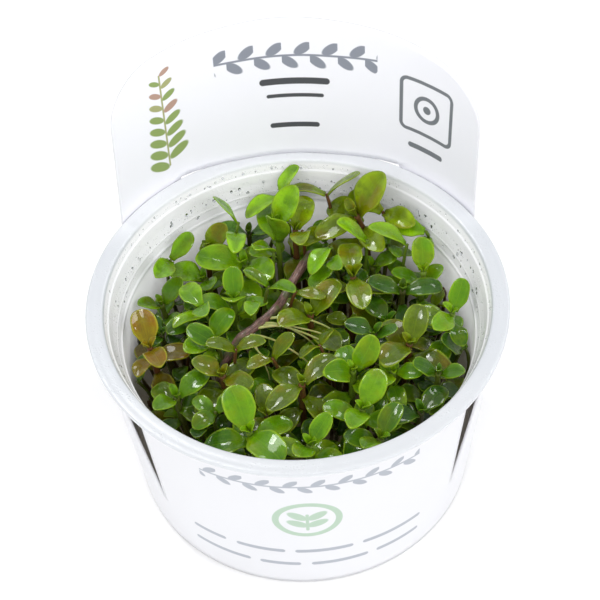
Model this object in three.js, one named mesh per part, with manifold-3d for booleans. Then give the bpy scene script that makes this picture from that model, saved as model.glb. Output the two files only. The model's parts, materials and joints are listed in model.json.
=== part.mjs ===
// Lemon bacopa shoots in a clear growing cup with a wrap-round card, in millimetres.
// The origin is the centre of the cup's flat foot. +Z is up, the card's front panel faces -Y and its
// tall header stands at the back, +Y.
import * as THREE from "three";
import { mergeVertices } from "three/addons/utils/BufferGeometryUtils.js";
import Module from "manifold-3d";

const wasm = await Module();
wasm.setup();

// Cup
const RIM_HEIGHT = 58.5;
const RIM_RADIUS = 50;
const MOUTH_RADIUS = 46;
const FLANGE_THICKNESS = 0.8;
const LIP_HEIGHT = 1.2;
const LIP_WIDTH = 0.8;
const WALL = 0.7;
const FLOOR = 1;
const STEP_HEIGHT = 48.3;
const STEP_RADIUS = 42.8;
const LEDGE = 0.4;
const FOOT_INNER_RADIUS = 41.4;
const CORNER = 0.6;
const ROUND_SEGMENTS = 56;

// Card, with angles in degrees
const CARD_THICKNESS = 0.5;
const CARD_FOOT = 0.5;
const CARD_FOOT_RADIUS = 43;
const FRONT_TOP_RADIUS = 48;
const BACK_TOP_RADIUS = 49;
const BESIDE_SLOT_RADIUS = 50.9;
const BAND_TOP = 56.8;
const HEADER_TOP = 99;
const HEADER_HALF_WIDTH = 43.7;
const HEADER_ARCH_RADIUS = 147;
const SHOULDER_RADIUS = 11.6;
const HEADER_SHIFT = 1.2;
const HEADER_TILT = 1.2;
const HEADER_LEAN = 6;
const HEADER_EDGE_ANGLE = 68;
const BULGE_START_ANGLE = 10;
const BULGE_END_ANGLE = 38;
const SLOT_HALF_WIDTH = 31.5;
const SLOT_HEIGHT = 1.9;
const SLOT_DEPTH = 40;
const SLIT_TIP_HEIGHT = 17;
const SLIT_FRONT_ANGLE = 51.5;
const SLIT_BACK_ANGLE = 63.5;
const CARD_SEGMENTS = 64;
const ARC_SEGMENTS = 7;

// Growing gel, and the gap that neighbours keep
const GEL_TOP = 9.5;
const GAP = 0.3;

// Shoots, with angles in degrees
const STEM_RADIUS = 0.85;
const STEM_BEND = 0.3;
const FOOT_SPREAD = 0.84;
const FOOT_KICK = 6;
const NODE_HALF_HEIGHT = 0.7;
const INTERNODE = 6.2;
const RISE_DROP = 14;
const LOWEST_RISE = -8;
const LEAF_THICKNESS = 0.8;
const SPACING = 0.5;
const WALL_SPACING = 0.9;
const GEL_SPACING = 1.5;
const SEED = 156;

const TONES = {
  bright: 0x6fae1e,
  green: 0x4f8f22,
  deep: 0x2f6a2a,
  olive: 0x7f8f22,
  amber: 0xa07a22,
};

const degrees = THREE.MathUtils.degToRad;
const smooth = THREE.MathUtils.smoothstep;
const mix = THREE.MathUtils.lerp;
const vector = (x, y, z) => new THREE.Vector3(x, y, z);

// Solids
function solidOf(geometry) {
  const bare = geometry.clone();
  bare.deleteAttribute("normal");
  bare.deleteAttribute("uv");
  const merged = mergeVertices(bare, 1e-4);
  const mesh = new wasm.Mesh({
    numProp: 3,
    vertProperties: merged.attributes.position.array,
    triVerts: new Uint32Array(merged.index.array),
  });
  return new wasm.Manifold(mesh);
}

function geometryOf(solid) {
  const mesh = solid.getMesh();
  const positions = new Float32Array(mesh.numVert * 3);
  for (let i = 0; i < mesh.numVert; i++) {
    positions.set(mesh.vertProperties.subarray(i * mesh.numProp, i * mesh.numProp + 3), i * 3);
  }
  const geometry = new THREE.BufferGeometry();
  geometry.setAttribute("position", new THREE.BufferAttribute(positions, 3));
  geometry.setIndex(new THREE.BufferAttribute(mesh.triVerts, 1));
  geometry.computeVertexNormals();
  return geometry;
}

function facesGeometry(points, faces) {
  const geometry = new THREE.BufferGeometry().setFromPoints(points);
  geometry.setIndex(faces.flat());
  geometry.computeVertexNormals();
  return geometry;
}

function turned(profile, segments = ROUND_SEGMENTS) {
  const points = profile.map(([radius, height]) => new THREE.Vector2(radius, height));
  return new THREE.LatheGeometry(points, segments).rotateX(Math.PI / 2);
}

// Cup: the radius of its inner wall at a height, then the turned solid
function innerRadius(height) {
  if (height > STEP_HEIGHT) {
    return mix(STEP_RADIUS, MOUTH_RADIUS, (height - STEP_HEIGHT) / (RIM_HEIGHT - STEP_HEIGHT));
  }
  return mix(FOOT_INNER_RADIUS, STEP_RADIUS - LEDGE, (height - FLOOR) / (STEP_HEIGHT - FLOOR));
}

function makeCup() {
  const flangeUnder = RIM_HEIGHT - FLANGE_THICKNESS;
  const stepFoot = STEP_HEIGHT - LEDGE;
  return turned([
    [0, 0],
    [FOOT_INNER_RADIUS + WALL - CORNER, 0],
    [FOOT_INNER_RADIUS + WALL, CORNER],
    [innerRadius(stepFoot) + WALL, stepFoot - WALL],
    [STEP_RADIUS + WALL, STEP_HEIGHT - WALL],
    [innerRadius(flangeUnder) + WALL, flangeUnder],
    [RIM_RADIUS - LIP_WIDTH, flangeUnder],
    [RIM_RADIUS - LIP_WIDTH, RIM_HEIGHT - LIP_HEIGHT],
    [RIM_RADIUS, RIM_HEIGHT - LIP_HEIGHT],
    [RIM_RADIUS, RIM_HEIGHT - GAP],
    [RIM_RADIUS - GAP, RIM_HEIGHT],
    [MOUTH_RADIUS, RIM_HEIGHT],
    [STEP_RADIUS, STEP_HEIGHT],
    [innerRadius(stepFoot), stepFoot],
    [FOOT_INNER_RADIUS, FLOOR + CORNER],
    [FOOT_INNER_RADIUS - CORNER, FLOOR],
    [0, FLOOR],
  ]);
}

// Card: its outside radius at the rim, for an angle away from the back
function cardTopRadius(angle) {
  const away = Math.abs(angle);
  if (away < HEADER_EDGE_ANGLE) {
    return mix(BACK_TOP_RADIUS, BESIDE_SLOT_RADIUS, smooth(away, BULGE_START_ANGLE, BULGE_END_ANGLE));
  }
  const slitAngle = 180 - SLIT_BACK_ANGLE;
  const left = Math.max(0, (slitAngle - away) / (slitAngle - HEADER_EDGE_ANGLE));
  return mix(FRONT_TOP_RADIUS, BESIDE_SLOT_RADIUS, left * left);
}

// Below the rim the sheet runs straight from its foot to its top, and above it all leans back alike.
function cardPoint(angle, height, inset) {
  const share = Math.min(1, (height - CARD_FOOT) / (RIM_HEIGHT - CARD_FOOT));
  const lean = Math.max(0, height - RIM_HEIGHT) * Math.tan(degrees(HEADER_LEAN));
  const radius = mix(CARD_FOOT_RADIUS, cardTopRadius(angle), share) + lean - inset;
  const turn = degrees(angle);
  return vector(radius * Math.sin(turn), radius * Math.cos(turn), height);
}

// The whole wrapped sheet, past the header's top all the way round, before it is trimmed
function cardBlank() {
  const top = HEADER_TOP + 1;
  const rings = [
    [CARD_FOOT, 0],
    [RIM_HEIGHT, 0],
    [top, 0],
    [top, CARD_THICKNESS],
    [RIM_HEIGHT, CARD_THICKNESS],
    [CARD_FOOT, CARD_THICKNESS],
  ];
  const points = [];
  const faces = [];
  for (let i = 0; i < CARD_SEGMENTS; i++) {
    const angle = (i * 360) / CARD_SEGMENTS - 180;
    rings.forEach(([height, inset]) => points.push(cardPoint(angle, height, inset)));
    const here = i * rings.length;
    const next = ((i + 1) % CARD_SEGMENTS) * rings.length;
    rings.forEach((ring, j) => {
      const k = (j + 1) % rings.length;
      faces.push([here + j, here + k, next + k], [here + j, next + k, next + j]);
    });
  }
  return solidOf(facesGeometry(points, faces));
}

// The header's outline, with its foot well below the band's top
function headerOutline() {
  const half = HEADER_HALF_WIDTH;
  const foot = BAND_TOP - SHOULDER_RADIUS;
  const archCentre = HEADER_TOP - HEADER_ARCH_RADIUS;
  const shoulderX = half - SHOULDER_RADIUS;
  const reach = HEADER_ARCH_RADIUS - SHOULDER_RADIUS;
  const shoulderY = archCentre + Math.sqrt(reach * reach - shoulderX * shoulderX);
  const spread = Math.asin(shoulderX / reach);
  const outline = new THREE.Shape();
  outline.moveTo(-half, foot);
  outline.lineTo(half, foot);
  outline.lineTo(half, shoulderY);
  outline.absarc(shoulderX, shoulderY, SHOULDER_RADIUS, 0, Math.PI / 2 - spread, false);
  outline.absarc(0, archCentre, HEADER_ARCH_RADIUS, Math.PI / 2 - spread, Math.PI / 2 + spread, false);
  outline.absarc(-shoulderX, shoulderY, SHOULDER_RADIUS, Math.PI / 2 + spread, Math.PI, false);
  outline.closePath();
  return outline;
}

// The prism that holds the header: its outline in front view, run from the cup's axis to behind it
function headerPrism() {
  const depth = 1.4 * RIM_RADIUS;
  const geometry = new THREE.ExtrudeGeometry(headerOutline(), {
    depth,
    bevelEnabled: false,
    curveSegments: ARC_SEGMENTS,
  });
  return geometry
    .rotateX(Math.PI / 2)
    .translate(0, depth, -BAND_TOP)
    .rotateY(degrees(HEADER_TILT))
    .translate(HEADER_SHIFT, 0, BAND_TOP);
}

// The wedge from the cup's axis that opens one slit, up to the rim
function slitCutter(side) {
  const reach = 1.2 * RIM_RADIUS;
  const corner = (angle, height) => {
    const turn = degrees(angle) * side;
    return vector(reach * Math.sin(turn), -reach * Math.cos(turn), height);
  };
  const axis = (height) => vector(0, 0, height);
  const widening = (SLIT_BACK_ANGLE - SLIT_FRONT_ANGLE) / (BAND_TOP - SLIT_TIP_HEIGHT);
  const openAngle = SLIT_FRONT_ANGLE + widening * (RIM_HEIGHT - SLIT_TIP_HEIGHT);
  const points = [
    axis(SLIT_TIP_HEIGHT),
    corner(SLIT_FRONT_ANGLE, SLIT_TIP_HEIGHT),
    axis(RIM_HEIGHT),
    corner(SLIT_FRONT_ANGLE, RIM_HEIGHT),
    corner(openAngle, RIM_HEIGHT),
  ];
  const faces = [
    [0, 1, 3],
    [0, 3, 2],
    [0, 4, 1],
    [0, 2, 4],
    [2, 3, 4],
    [1, 4, 3],
  ];
  const outward = side > 0 ? faces : faces.map(([a, b, c]) => [a, c, b]);
  return solidOf(facesGeometry(points, outward));
}

function makeCard() {
  const across = 3 * RIM_RADIUS;
  const band = new THREE.BoxGeometry(across, across, BAND_TOP).translate(0, 0, BAND_TOP / 2);
  const slot = new THREE.BoxGeometry(2 * SLOT_HALF_WIDTH, SLOT_DEPTH, SLOT_HEIGHT);
  slot.translate(HEADER_SHIFT, RIM_RADIUS, RIM_HEIGHT - LIP_HEIGHT / 2);
  return geometryOf(
    cardBlank()
      .intersect(solidOf(band).add(solidOf(headerPrism())))
      .subtract(solidOf(slot))
      .subtract(slitCutter(1))
      .subtract(slitCutter(-1)),
  );
}

// Gel
function makeGel() {
  const clear = (height) => innerRadius(height) - GAP;
  return turned([
    [0, FLOOR + GAP],
    [clear(FLOOR) - CORNER, FLOOR + GAP],
    [clear(FLOOR), FLOOR + GAP + CORNER],
    [clear(GEL_TOP), GEL_TOP],
    [0, GEL_TOP],
  ]);
}

// A repeatable stream of numbers from 0 to 1
let state = SEED;
function draw() {
  state = (state * 1664525 + 1013904223) % 4294967296;
  return state / 4294967296;
}
const sway = (size) => (draw() * 2 - 1) * size;

// Stems
// A stem is a smooth curve from its foot on the gel to its top pair of leaves.
function stemCurve(foot, top, direction) {
  const bend = top.clone().addScaledVector(direction, -STEM_BEND * (top.z - foot.z));
  return new THREE.QuadraticBezierCurve3(foot, bend, top);
}

function budPoint(curve) {
  return curve.getPoint(1).addScaledVector(curve.getTangent(1), 2 * STEM_RADIUS);
}

// Points along every stem, which the leaves of other pieces keep off
const KEPT_STEP = 1.5;
const keptOff = [];
function keepOff(curve, radius, owner) {
  const count = Math.ceil(curve.getLength() / KEPT_STEP);
  for (let i = 0; i <= count; i++) {
    keptOff.push({ point: curve.getPoint(i / count), radius, owner });
  }
  keptOff.push({ point: budPoint(curve), radius, owner });
}

// Leaves
// A leaf runs from its root along its direction, with its flat side facing its normal.
const PROFILE = [
  [0, 0.36],
  [0.14, 0.55],
  [0.42, 0.95],
  [0.6, 1],
  [0.8, 0.86],
  [1, 0.12],
];

function profileAt(along) {
  const u = Math.min(1, Math.max(0, along));
  const i = PROFILE.findIndex(([x], k) => k > 0 && u <= x);
  const [[x0, w0], [x1, w1]] = [PROFILE[i - 1], PROFILE[i]];
  return mix(w0, w1, (u - x0) / (x1 - x0));
}

function leafHeight(leaf, along, across) {
  return leaf.length * (leaf.bow * along * (1 - along) - leaf.curl * along * along)
    + leaf.cup * leaf.width * across * across * profileAt(along);
}

function leafPoint(leaf, along, across, lift = 0) {
  const half = (leaf.width / 2) * profileAt(along);
  return leaf.root
    .clone()
    .addScaledVector(leaf.direction, leaf.length * along)
    .addScaledVector(leaf.side, half * across)
    .addScaledVector(leaf.normal, leafHeight(leaf, along, across) + lift);
}

// Whether a ball of that radius comes nearer than the spacing to a leaf
function touches(leaf, point, radius) {
  const offset = point.clone().sub(leaf.root);
  const distance = offset.dot(leaf.direction);
  if (distance < -radius || distance > leaf.length + radius) return false;
  const along = Math.min(1, Math.max(0, distance / leaf.length));
  const half = (leaf.width / 2) * profileAt(along);
  const sideways = offset.dot(leaf.side);
  if (Math.abs(sideways) > half + radius) return false;
  const across = Math.min(1, Math.max(-1, sideways / half));
  return Math.abs(offset.dot(leaf.normal) - leafHeight(leaf, along, across)) < radius + SPACING;
}

const SAMPLES = [
  [0.15, 0],
  [0.25, -1],
  [0.25, 1],
  [0.35, 0],
  [0.42, -1],
  [0.42, 1],
  [0.55, 0],
  [0.62, -1],
  [0.62, 1],
  [0.7, 0],
  [0.8, -1],
  [0.8, 1],
  [0.87, 0],
  [0.92, -0.8],
  [0.92, 0.8],
  [1, 0],
];

const placed = [];
function isFree(leaf) {
  const points = SAMPLES.map(([along, across]) => leafPoint(leaf, along, across));
  for (const point of points) {
    if (point.z < GEL_TOP + GEL_SPACING) return false;
    if (Math.hypot(point.x, point.y) > innerRadius(point.z) - WALL_SPACING) return false;
  }
  for (const { point, radius, owner } of keptOff) {
    if (owner !== leaf.owner && touches(leaf, point, radius * Math.SQRT2)) return false;
  }
  for (const other of placed) {
    if (other.root.distanceTo(leaf.root) > other.length + leaf.length + 2 * LEAF_THICKNESS) continue;
    if (points.some((point) => touches(other, point, LEAF_THICKNESS))) return false;
    if (other.samples.some((point) => touches(leaf, point, LEAF_THICKNESS))) return false;
  }
  return true;
}

// Tries the wanted leaf first, then ones turned, raised or lowered, and shortened by more each time.
const TRIES = 22;
const SWING_STEP = 7;
const RAISE_STEP = 3;
const MOST_RAISE = 9;
const SHRINK_STEP = 0.022;
function placeLeaf(wanted) {
  for (let attempt = 0; attempt < TRIES; attempt++) {
    const swing = Math.ceil(attempt / 2) * SWING_STEP * (attempt % 2 ? 1 : -1);
    const raise = ((attempt % 3) - 1) * Math.min(MOST_RAISE, attempt * RAISE_STEP);
    const leaf = leafFrom(wanted, swing, raise, 1 - SHRINK_STEP * attempt);
    if (isFree(leaf)) {
      leaf.samples = SAMPLES.map(([along, across]) => leafPoint(leaf, along, across));
      placed.push(leaf);
      return leaf;
    }
  }
  return null;
}

function leafFrom(wanted, swing, raise, scale) {
  const { axis, right, ahead } = wanted.frame;
  const azimuth = degrees(wanted.azimuth + swing);
  const rise = degrees(wanted.rise + raise);
  const radial = right.clone().multiplyScalar(Math.cos(azimuth)).addScaledVector(ahead, Math.sin(azimuth));
  const direction = radial.clone().multiplyScalar(Math.cos(rise)).addScaledVector(axis, Math.sin(rise));
  const flatSide = axis.clone().cross(radial).normalize();
  const flatNormal = direction.clone().cross(flatSide).normalize();
  const roll = degrees(wanted.face) * Math.sign(flatSide.y || 1);
  const side = flatSide.clone().multiplyScalar(Math.cos(roll)).addScaledVector(flatNormal, Math.sin(roll));
  const normal = direction.clone().cross(side).normalize();
  return {
    ...wanted,
    root: wanted.centre.clone().addScaledVector(wanted.faceDirection, STEM_RADIUS),
    direction,
    side,
    normal,
    length: wanted.length * scale,
    width: wanted.width * Math.sqrt(scale),
  };
}

// Shoots
// at: the top pair of leaves; turn: which way that pair points, in degrees from +X; rise: how steeply its
// leaves rise; leaf: their length; lean: how far the tip leans towards +X and +Y; face: how far the leaves
// twist to face the front.
const SHOOTS = [
  { at: [-4, 31, 51], turn: 5, rise: 70, leaf: 11.5, lean: [0, 0.7], face: 62, pairs: 3, tone: "bright" },
  { at: [16, 30.5, 53], turn: 22, rise: 26, leaf: 11.5, lean: [-0.5, 0.1], face: 25, pairs: 3, tone: "olive" },
  { at: [0.5, 29, 50.5], turn: 80, rise: 40, leaf: 9.5, lean: [0, 0.1], face: 10, pairs: 3, tone: "olive" },
  { at: [-12.5, 22, 46.5], turn: 165, rise: 8, leaf: 12, lean: [-0.2, 0], face: 10, pairs: 3, tone: "bright" },
  { at: [-22.5, 29, 45], turn: 20, rise: 62, leaf: 8.5, lean: [0, 0.3], face: 50, pairs: 3, tone: "olive" },
  { at: [-23, 21, 43], turn: 150, rise: 35, leaf: 9, lean: [-0.2, 0.1], face: 10, pairs: 3, tone: "green" },
  { at: [-34, 14, 42], turn: 35, rise: 40, leaf: 8, lean: [-0.1, 0.1], face: 15, pairs: 2, tone: "green" },
  { at: [-26, 8, 43], turn: 10, rise: 12, leaf: 9.5, lean: [0.1, 0], face: 10, pairs: 2, tone: "deep" },
  { at: [-15.5, 10, 47], turn: 85, rise: 50, leaf: 9, lean: [0, 0.2], face: 0, pairs: 3, tone: "bright" },
  { at: [-21.5, -2, 47], turn: 50, rise: 35, leaf: 8.5, lean: [0, 0], face: 10, pairs: 3, tone: "bright" },
  { at: [-36, -3.5, 47], turn: 110, rise: 35, leaf: 9, lean: [0, 0], face: 0, pairs: 3, tone: "amber" },
  { at: [-18.5, -14, 48], turn: 140, rise: 25, leaf: 9, lean: [0, 0], face: 0, pairs: 3, tone: "olive" },
  { at: [-29.5, -18.5, 46.5], turn: 40, rise: 20, leaf: 8.5, lean: [0, 0], face: 5, pairs: 3, tone: "green" },
  { at: [-12.5, -32, 50], turn: 115, rise: 20, leaf: 11, lean: [0, -0.1], face: 0, pairs: 3, tone: "bright" },
  { at: [0, -19, 49.5], turn: 35, rise: 15, leaf: 9.5, lean: [0, 0], face: 0, pairs: 3, tone: "olive" },
  { at: [3, 3, 48], turn: 40, rise: 25, leaf: 10, lean: [0, 0], face: 0, pairs: 3, tone: "olive" },
  { at: [14, 12, 51], turn: 92, rise: 12, leaf: 10, lean: [0, 0], face: 0, pairs: 3, tone: "olive" },
  { at: [26, 9.5, 47.5], turn: 175, rise: 10, leaf: 9, lean: [0, 0], face: 5, pairs: 3, tone: "deep" },
  { at: [31.5, 14, 49], turn: 88, rise: 45, leaf: 9, lean: [0, 0.1], face: 0, pairs: 3, tone: "bright" },
  { at: [37, -0.5, 50], turn: 60, rise: 30, leaf: 9, lean: [0, 0], face: 20, pairs: 3, tone: "bright" },
  { at: [26, -8, 48.5], turn: 48, rise: 25, leaf: 11, lean: [0, 0], face: 0, pairs: 3, tone: "olive" },
  { at: [18, -4, 48], turn: 130, rise: 25, leaf: 9, lean: [0, 0], face: 0, pairs: 3, tone: "deep" },
  { at: [12, -16.5, 50.5], turn: 35, rise: 45, leaf: 9, lean: [0, 0], face: 40, pairs: 3, tone: "bright" },
  { at: [21.5, -16, 48.5], turn: 10, rise: 28, leaf: 8, lean: [0, 0], face: 15, pairs: 3, tone: "bright" },
  { at: [32, -17.5, 49], turn: 165, rise: 25, leaf: 7.5, lean: [0, 0], face: 10, pairs: 3, tone: "green" },
  { at: [13.5, -27, 49.5], turn: 65, rise: 35, leaf: 9, lean: [0, 0], face: 10, pairs: 3, tone: "bright" },
  { at: [1, -36.5, 50], turn: 50, rise: 35, leaf: 8.5, lean: [0, 0.1], face: 10, pairs: 3, tone: "bright" },
  { at: [17, -35.5, 49.5], turn: 55, rise: 38, leaf: 9, lean: [0, 0.1], face: 0, pairs: 3, tone: "green" },
  { at: [27, -27, 47], turn: 30, rise: 15, leaf: 9, lean: [0, 0], face: 0, pairs: 3, tone: "deep" },
];

// Shoots between those, on a sunflower spiral, lower and darker.
const FILL_COUNT = 64;
const FILL_REACH = 38;
const FILL_CLEARANCE = 7.1;
const FILL_HEIGHT = 41;
const FILL_SWAY = 3.5;
const FILL_SHOOT = { rise: 24, leaf: 8.6, lean: [0, 0], face: 0, pairs: 2 };
const FILL_TONES = ["green", "deep", "green", "olive", "deep"];
const GOLDEN_ANGLE = 137.508;
const MOST_SHOOTS = 52;

function fillShoots() {
  const all = SHOOTS.map((shoot) => ({ ...shoot }));
  for (let i = 0; i < FILL_COUNT; i++) {
    const reach = FILL_REACH * Math.sqrt((i + 0.5) / FILL_COUNT);
    const angle = degrees(i * GOLDEN_ANGLE);
    const x = reach * Math.cos(angle);
    const y = reach * Math.sin(angle);
    const height = FILL_HEIGHT + sway(FILL_SWAY);
    const turn = draw() * 180;
    const near = all.some(({ at }) => Math.hypot(at[0] - x, at[1] - y) < FILL_CLEARANCE);
    if (near || all.length >= MOST_SHOOTS) continue;
    all.push({ ...FILL_SHOOT, at: [x, y, height], turn, tone: FILL_TONES[i % FILL_TONES.length] });
  }
  return all;
}

// The frame across a stem: its own axis, a sideways direction and one ahead of it
function frameAt(curve, share) {
  const axis = curve.getTangent(share);
  const right = vector(1, 0, 0).addScaledVector(axis, -axis.x).normalize();
  return { axis, right, ahead: axis.clone().cross(right) };
}

function planShoot(shoot, owner) {
  const top = vector(...shoot.at);
  const direction = vector(shoot.lean[0], shoot.lean[1], 1).normalize();
  const foot = vector(
    FOOT_SPREAD * top.x - FOOT_KICK * shoot.lean[0],
    FOOT_SPREAD * top.y - FOOT_KICK * shoot.lean[1],
    GEL_TOP + GAP,
  );
  const curve = stemCurve(foot, top, direction);
  keepOff(curve, STEM_RADIUS, owner);
  return { ...shoot, owner, curve, spread: curve.getLength() };
}

function placeLeaves(shoot) {
  shoot.nodes = [];
  for (let pair = 0; pair < shoot.pairs; pair++) {
    const share = 1 - (NODE_HALF_HEIGHT + pair * INTERNODE) / shoot.spread;
    const frame = frameAt(shoot.curve, share);
    const centre = shoot.curve.getPoint(share);
    const leaves = [0, 180].map((half) => {
      const quarter = pair % 2 ? 90 : 0;
      const facing = degrees(shoot.turn + quarter + half);
      const faceDirection = frame.right
        .clone()
        .multiplyScalar(Math.cos(facing))
        .addScaledVector(frame.ahead, Math.sin(facing));
      const length = shoot.leaf * (1 + sway(0.1));
      return placeLeaf({
        owner: shoot.owner,
        frame,
        centre,
        faceDirection,
        azimuth: shoot.turn + quarter + half + sway(9),
        rise: Math.max(LOWEST_RISE, shoot.rise - RISE_DROP * pair + sway(8)),
        face: shoot.face * (pair ? 0.4 : 1),
        length,
        width: length * (0.66 + sway(0.06)),
        bow: 0.25 + sway(0.12),
        curl: 0.1 + 0.05 * pair + sway(0.08),
        cup: 0.12 + sway(0.07),
      });
    });
    shoot.nodes.push({ share, leaves });
  }
}

// The mesh of a shoot: a square stem whose faces open into leaves
function shootGeometry(shoot) {
  const points = [];
  const faces = [];
  const add = (point) => points.push(point) - 1;

  function stemRing(share, radius) {
    const { right, ahead } = frameAt(shoot.curve, share);
    const centre = shoot.curve.getPoint(share);
    return [0, 1, 2, 3].map((quarter) => {
      const turn = degrees(shoot.turn + 45 + 90 * quarter);
      const corner = centre.clone().addScaledVector(right, radius * Math.SQRT2 * Math.cos(turn));
      corner.addScaledVector(ahead, radius * Math.SQRT2 * Math.sin(turn));
      if (share === 0) corner.z = centre.z;
      return add(corner);
    });
  }

  function leafRing(leaf, along) {
    return [
      add(leafPoint(leaf, along, 0, LEAF_THICKNESS / 2)),
      add(leafPoint(leaf, along, -1)),
      add(leafPoint(leaf, along, 0, -LEAF_THICKNESS / 2)),
      add(leafPoint(leaf, along, 1)),
    ];
  }

  // The base is the open stem face: its upper left, lower left, lower right and upper right corners.
  function addLeaf(leaf, base) {
    const first = leafRing(leaf, 0.42);
    const second = leafRing(leaf, 0.8);
    const tip = add(leafPoint(leaf, 1, 0));
    for (let i = 0; i < 4; i++) {
      const j = (i + 1) % 4;
      faces.push([base[i], base[j], first[j]], [base[i], first[j], first[i]]);
      faces.push([first[i], first[j], second[i]], [first[j], second[j], second[i]]);
      faces.push([second[i], second[j], tip]);
    }
  }

  function leafOnFace(level, quarter) {
    if (!level.leaves) return null;
    const half = (quarter - (level.pair % 2)) / 2;
    return Number.isInteger(half) ? level.leaves[half] : null;
  }

  const halfShare = NODE_HALF_HEIGHT / shoot.spread;
  const levels = [{ share: 0 }];
  for (let pair = shoot.nodes.length - 1; pair >= 0; pair--) {
    const { share, leaves } = shoot.nodes[pair];
    levels.push({ share: share - halfShare, leaves, pair }, { share: Math.min(1, share + halfShare) });
  }
  const rings = levels.map(({ share }) => stemRing(share, STEM_RADIUS * mix(1.1, 0.9, share)));
  for (let i = 0; i + 1 < rings.length; i++) {
    const [low, high] = [rings[i], rings[i + 1]];
    for (let right = 0; right < 4; right++) {
      const left = (right + 3) % 4;
      const leaf = leafOnFace(levels[i], right);
      if (leaf) addLeaf(leaf, [high[left], low[left], low[right], high[right]]);
      else faces.push([low[left], low[right], high[right]], [low[left], high[right], high[left]]);
    }
  }
  const foot = rings[0];
  const crown = rings[rings.length - 1];
  faces.push([foot[0], foot[2], foot[1]], [foot[0], foot[3], foot[2]]);
  const bud = add(budPoint(shoot.curve));
  for (let i = 0; i < 4; i++) faces.push([crown[i], crown[(i + 1) % 4], bud]);
  return facesGeometry(points, faces);
}

// The old stem creeps across the top of the shoots and goes down into the gel at both ends.
const CREEPER_RADIUS = 1.2;
const CREEPER_FOOT = GEL_TOP + 2 * GAP;
const CREEPER_ROUTE = [
  [6, 34, CREEPER_FOOT],
  [5, 31, 30],
  [4.5, 27, 43],
  [3, 21, 48],
  [-1, 13, 49],
  [-5, 5.5, 48.5],
  [-10, 1, 47.5],
  [-15, -2.5, 46],
  [-19, -6, 40],
  [-21, -8, 27],
  [-21.5, -8.5, CREEPER_FOOT],
];
const creeperCurve = new THREE.CatmullRomCurve3(CREEPER_ROUTE.map((point) => vector(...point)));

function makeCreeper() {
  const section = new THREE.Shape();
  section.absarc(0, 0, CREEPER_RADIUS, 0, 2 * Math.PI, false);
  return new THREE.ExtrudeGeometry(section, {
    steps: 20,
    curveSegments: 3,
    extrudePath: creeperCurve,
  });
}

// Assembly
const part = new THREE.Group();
function addPiece(name, geometry, color, roughness) {
  const material = new THREE.MeshStandardMaterial({ color, roughness, metalness: 0 });
  const mesh = new THREE.Mesh(geometry, material);
  mesh.name = name;
  part.add(mesh);
}

addPiece("cup", makeCup(), 0xe9edf2, 0.25);
addPiece("card_sleeve", makeCard(), 0xf4f4f8, 0.6);
addPiece("nutrient_gel", makeGel(), 0xb9ad84, 0.2);
addPiece("creeping_stem", makeCreeper(), 0x6b4a35, 0.5);

keepOff(creeperCurve, CREEPER_RADIUS, "creeping_stem");
const planned = fillShoots().map((shoot, i) => planShoot(shoot, `shoot_${String(i + 1).padStart(2, "0")}`));
planned.forEach(placeLeaves);
planned.forEach((shoot) => addPiece(shoot.owner, shootGeometry(shoot), TONES[shoot.tone], 0.35));

export default part;
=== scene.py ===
"""Lemon bacopa shoots in a clear growing cup with a wrap-round card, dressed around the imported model.

Shapes are worked out in millimetres, as the solids are, and turned into metres when a mesh is made.
"""
import json
import math

import bpy
import numpy as np
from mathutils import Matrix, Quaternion, Vector


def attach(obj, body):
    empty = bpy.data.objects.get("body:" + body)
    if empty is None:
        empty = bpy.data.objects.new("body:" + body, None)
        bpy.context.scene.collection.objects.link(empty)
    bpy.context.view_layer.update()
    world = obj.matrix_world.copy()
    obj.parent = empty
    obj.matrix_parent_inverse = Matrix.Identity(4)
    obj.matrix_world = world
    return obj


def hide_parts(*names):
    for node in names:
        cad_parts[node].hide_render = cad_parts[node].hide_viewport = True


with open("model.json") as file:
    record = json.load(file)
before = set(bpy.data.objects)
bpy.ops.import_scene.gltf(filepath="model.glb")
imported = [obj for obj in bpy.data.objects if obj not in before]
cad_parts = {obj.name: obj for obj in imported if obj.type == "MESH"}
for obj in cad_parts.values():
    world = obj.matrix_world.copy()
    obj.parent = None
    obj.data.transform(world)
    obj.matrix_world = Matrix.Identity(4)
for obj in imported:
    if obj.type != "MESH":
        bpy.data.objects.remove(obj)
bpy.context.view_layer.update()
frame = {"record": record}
SLOTS = {part["node"]: part["material_slot"] for part in frame["record"]["subparts"]}

MM = 0.001

# Cup
RIM_HEIGHT = 58.5
RIM_RADIUS = 50
MOUTH_RADIUS = 46
FLANGE_THICKNESS = 0.8
LIP_HEIGHT = 1.2
LIP_WIDTH = 0.8
WALL = 0.7
FLOOR = 1
STEP_HEIGHT = 48.3
STEP_RADIUS = 42.8
LEDGE = 0.4
FOOT_INNER_RADIUS = 41.4
CUP_SEGMENTS = 160

# Card, with angles in degrees
CARD_THICKNESS = 0.5
CARD_FOOT = 0.5
CARD_FOOT_RADIUS = 43
FRONT_TOP_RADIUS = 48
BACK_TOP_RADIUS = 49
BESIDE_SLOT_RADIUS = 50.9
BAND_TOP = 56.8
HEADER_TOP = 99
HEADER_HALF_WIDTH = 43.7
HEADER_ARCH_RADIUS = 147
SHOULDER_RADIUS = 11.6
HEADER_SHIFT = 1.2
HEADER_TILT = 1.2
HEADER_LEAN = 6
HEADER_EDGE_ANGLE = 68
BULGE_START_ANGLE = 10
BULGE_END_ANGLE = 38
SLOT_HALF_WIDTH = 28
SLOT_HEIGHT = 1.3
SLIT_TIP_HEIGHT = 17
SLIT_FRONT_ANGLE = 51.5
SLIT_BACK_ANGLE = 63.5
FRONT_COLUMNS = 61
SIDE_COLUMNS = 16
SLOT_COLUMNS = 39
LOW_ROWS = 12
SLIT_ROWS = 28
HEADER_ROWS = 24
SHOULDER_COLUMNS = 10
SLOT_MARGIN = 2.2
ANGLE_TURNS = 12

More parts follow.
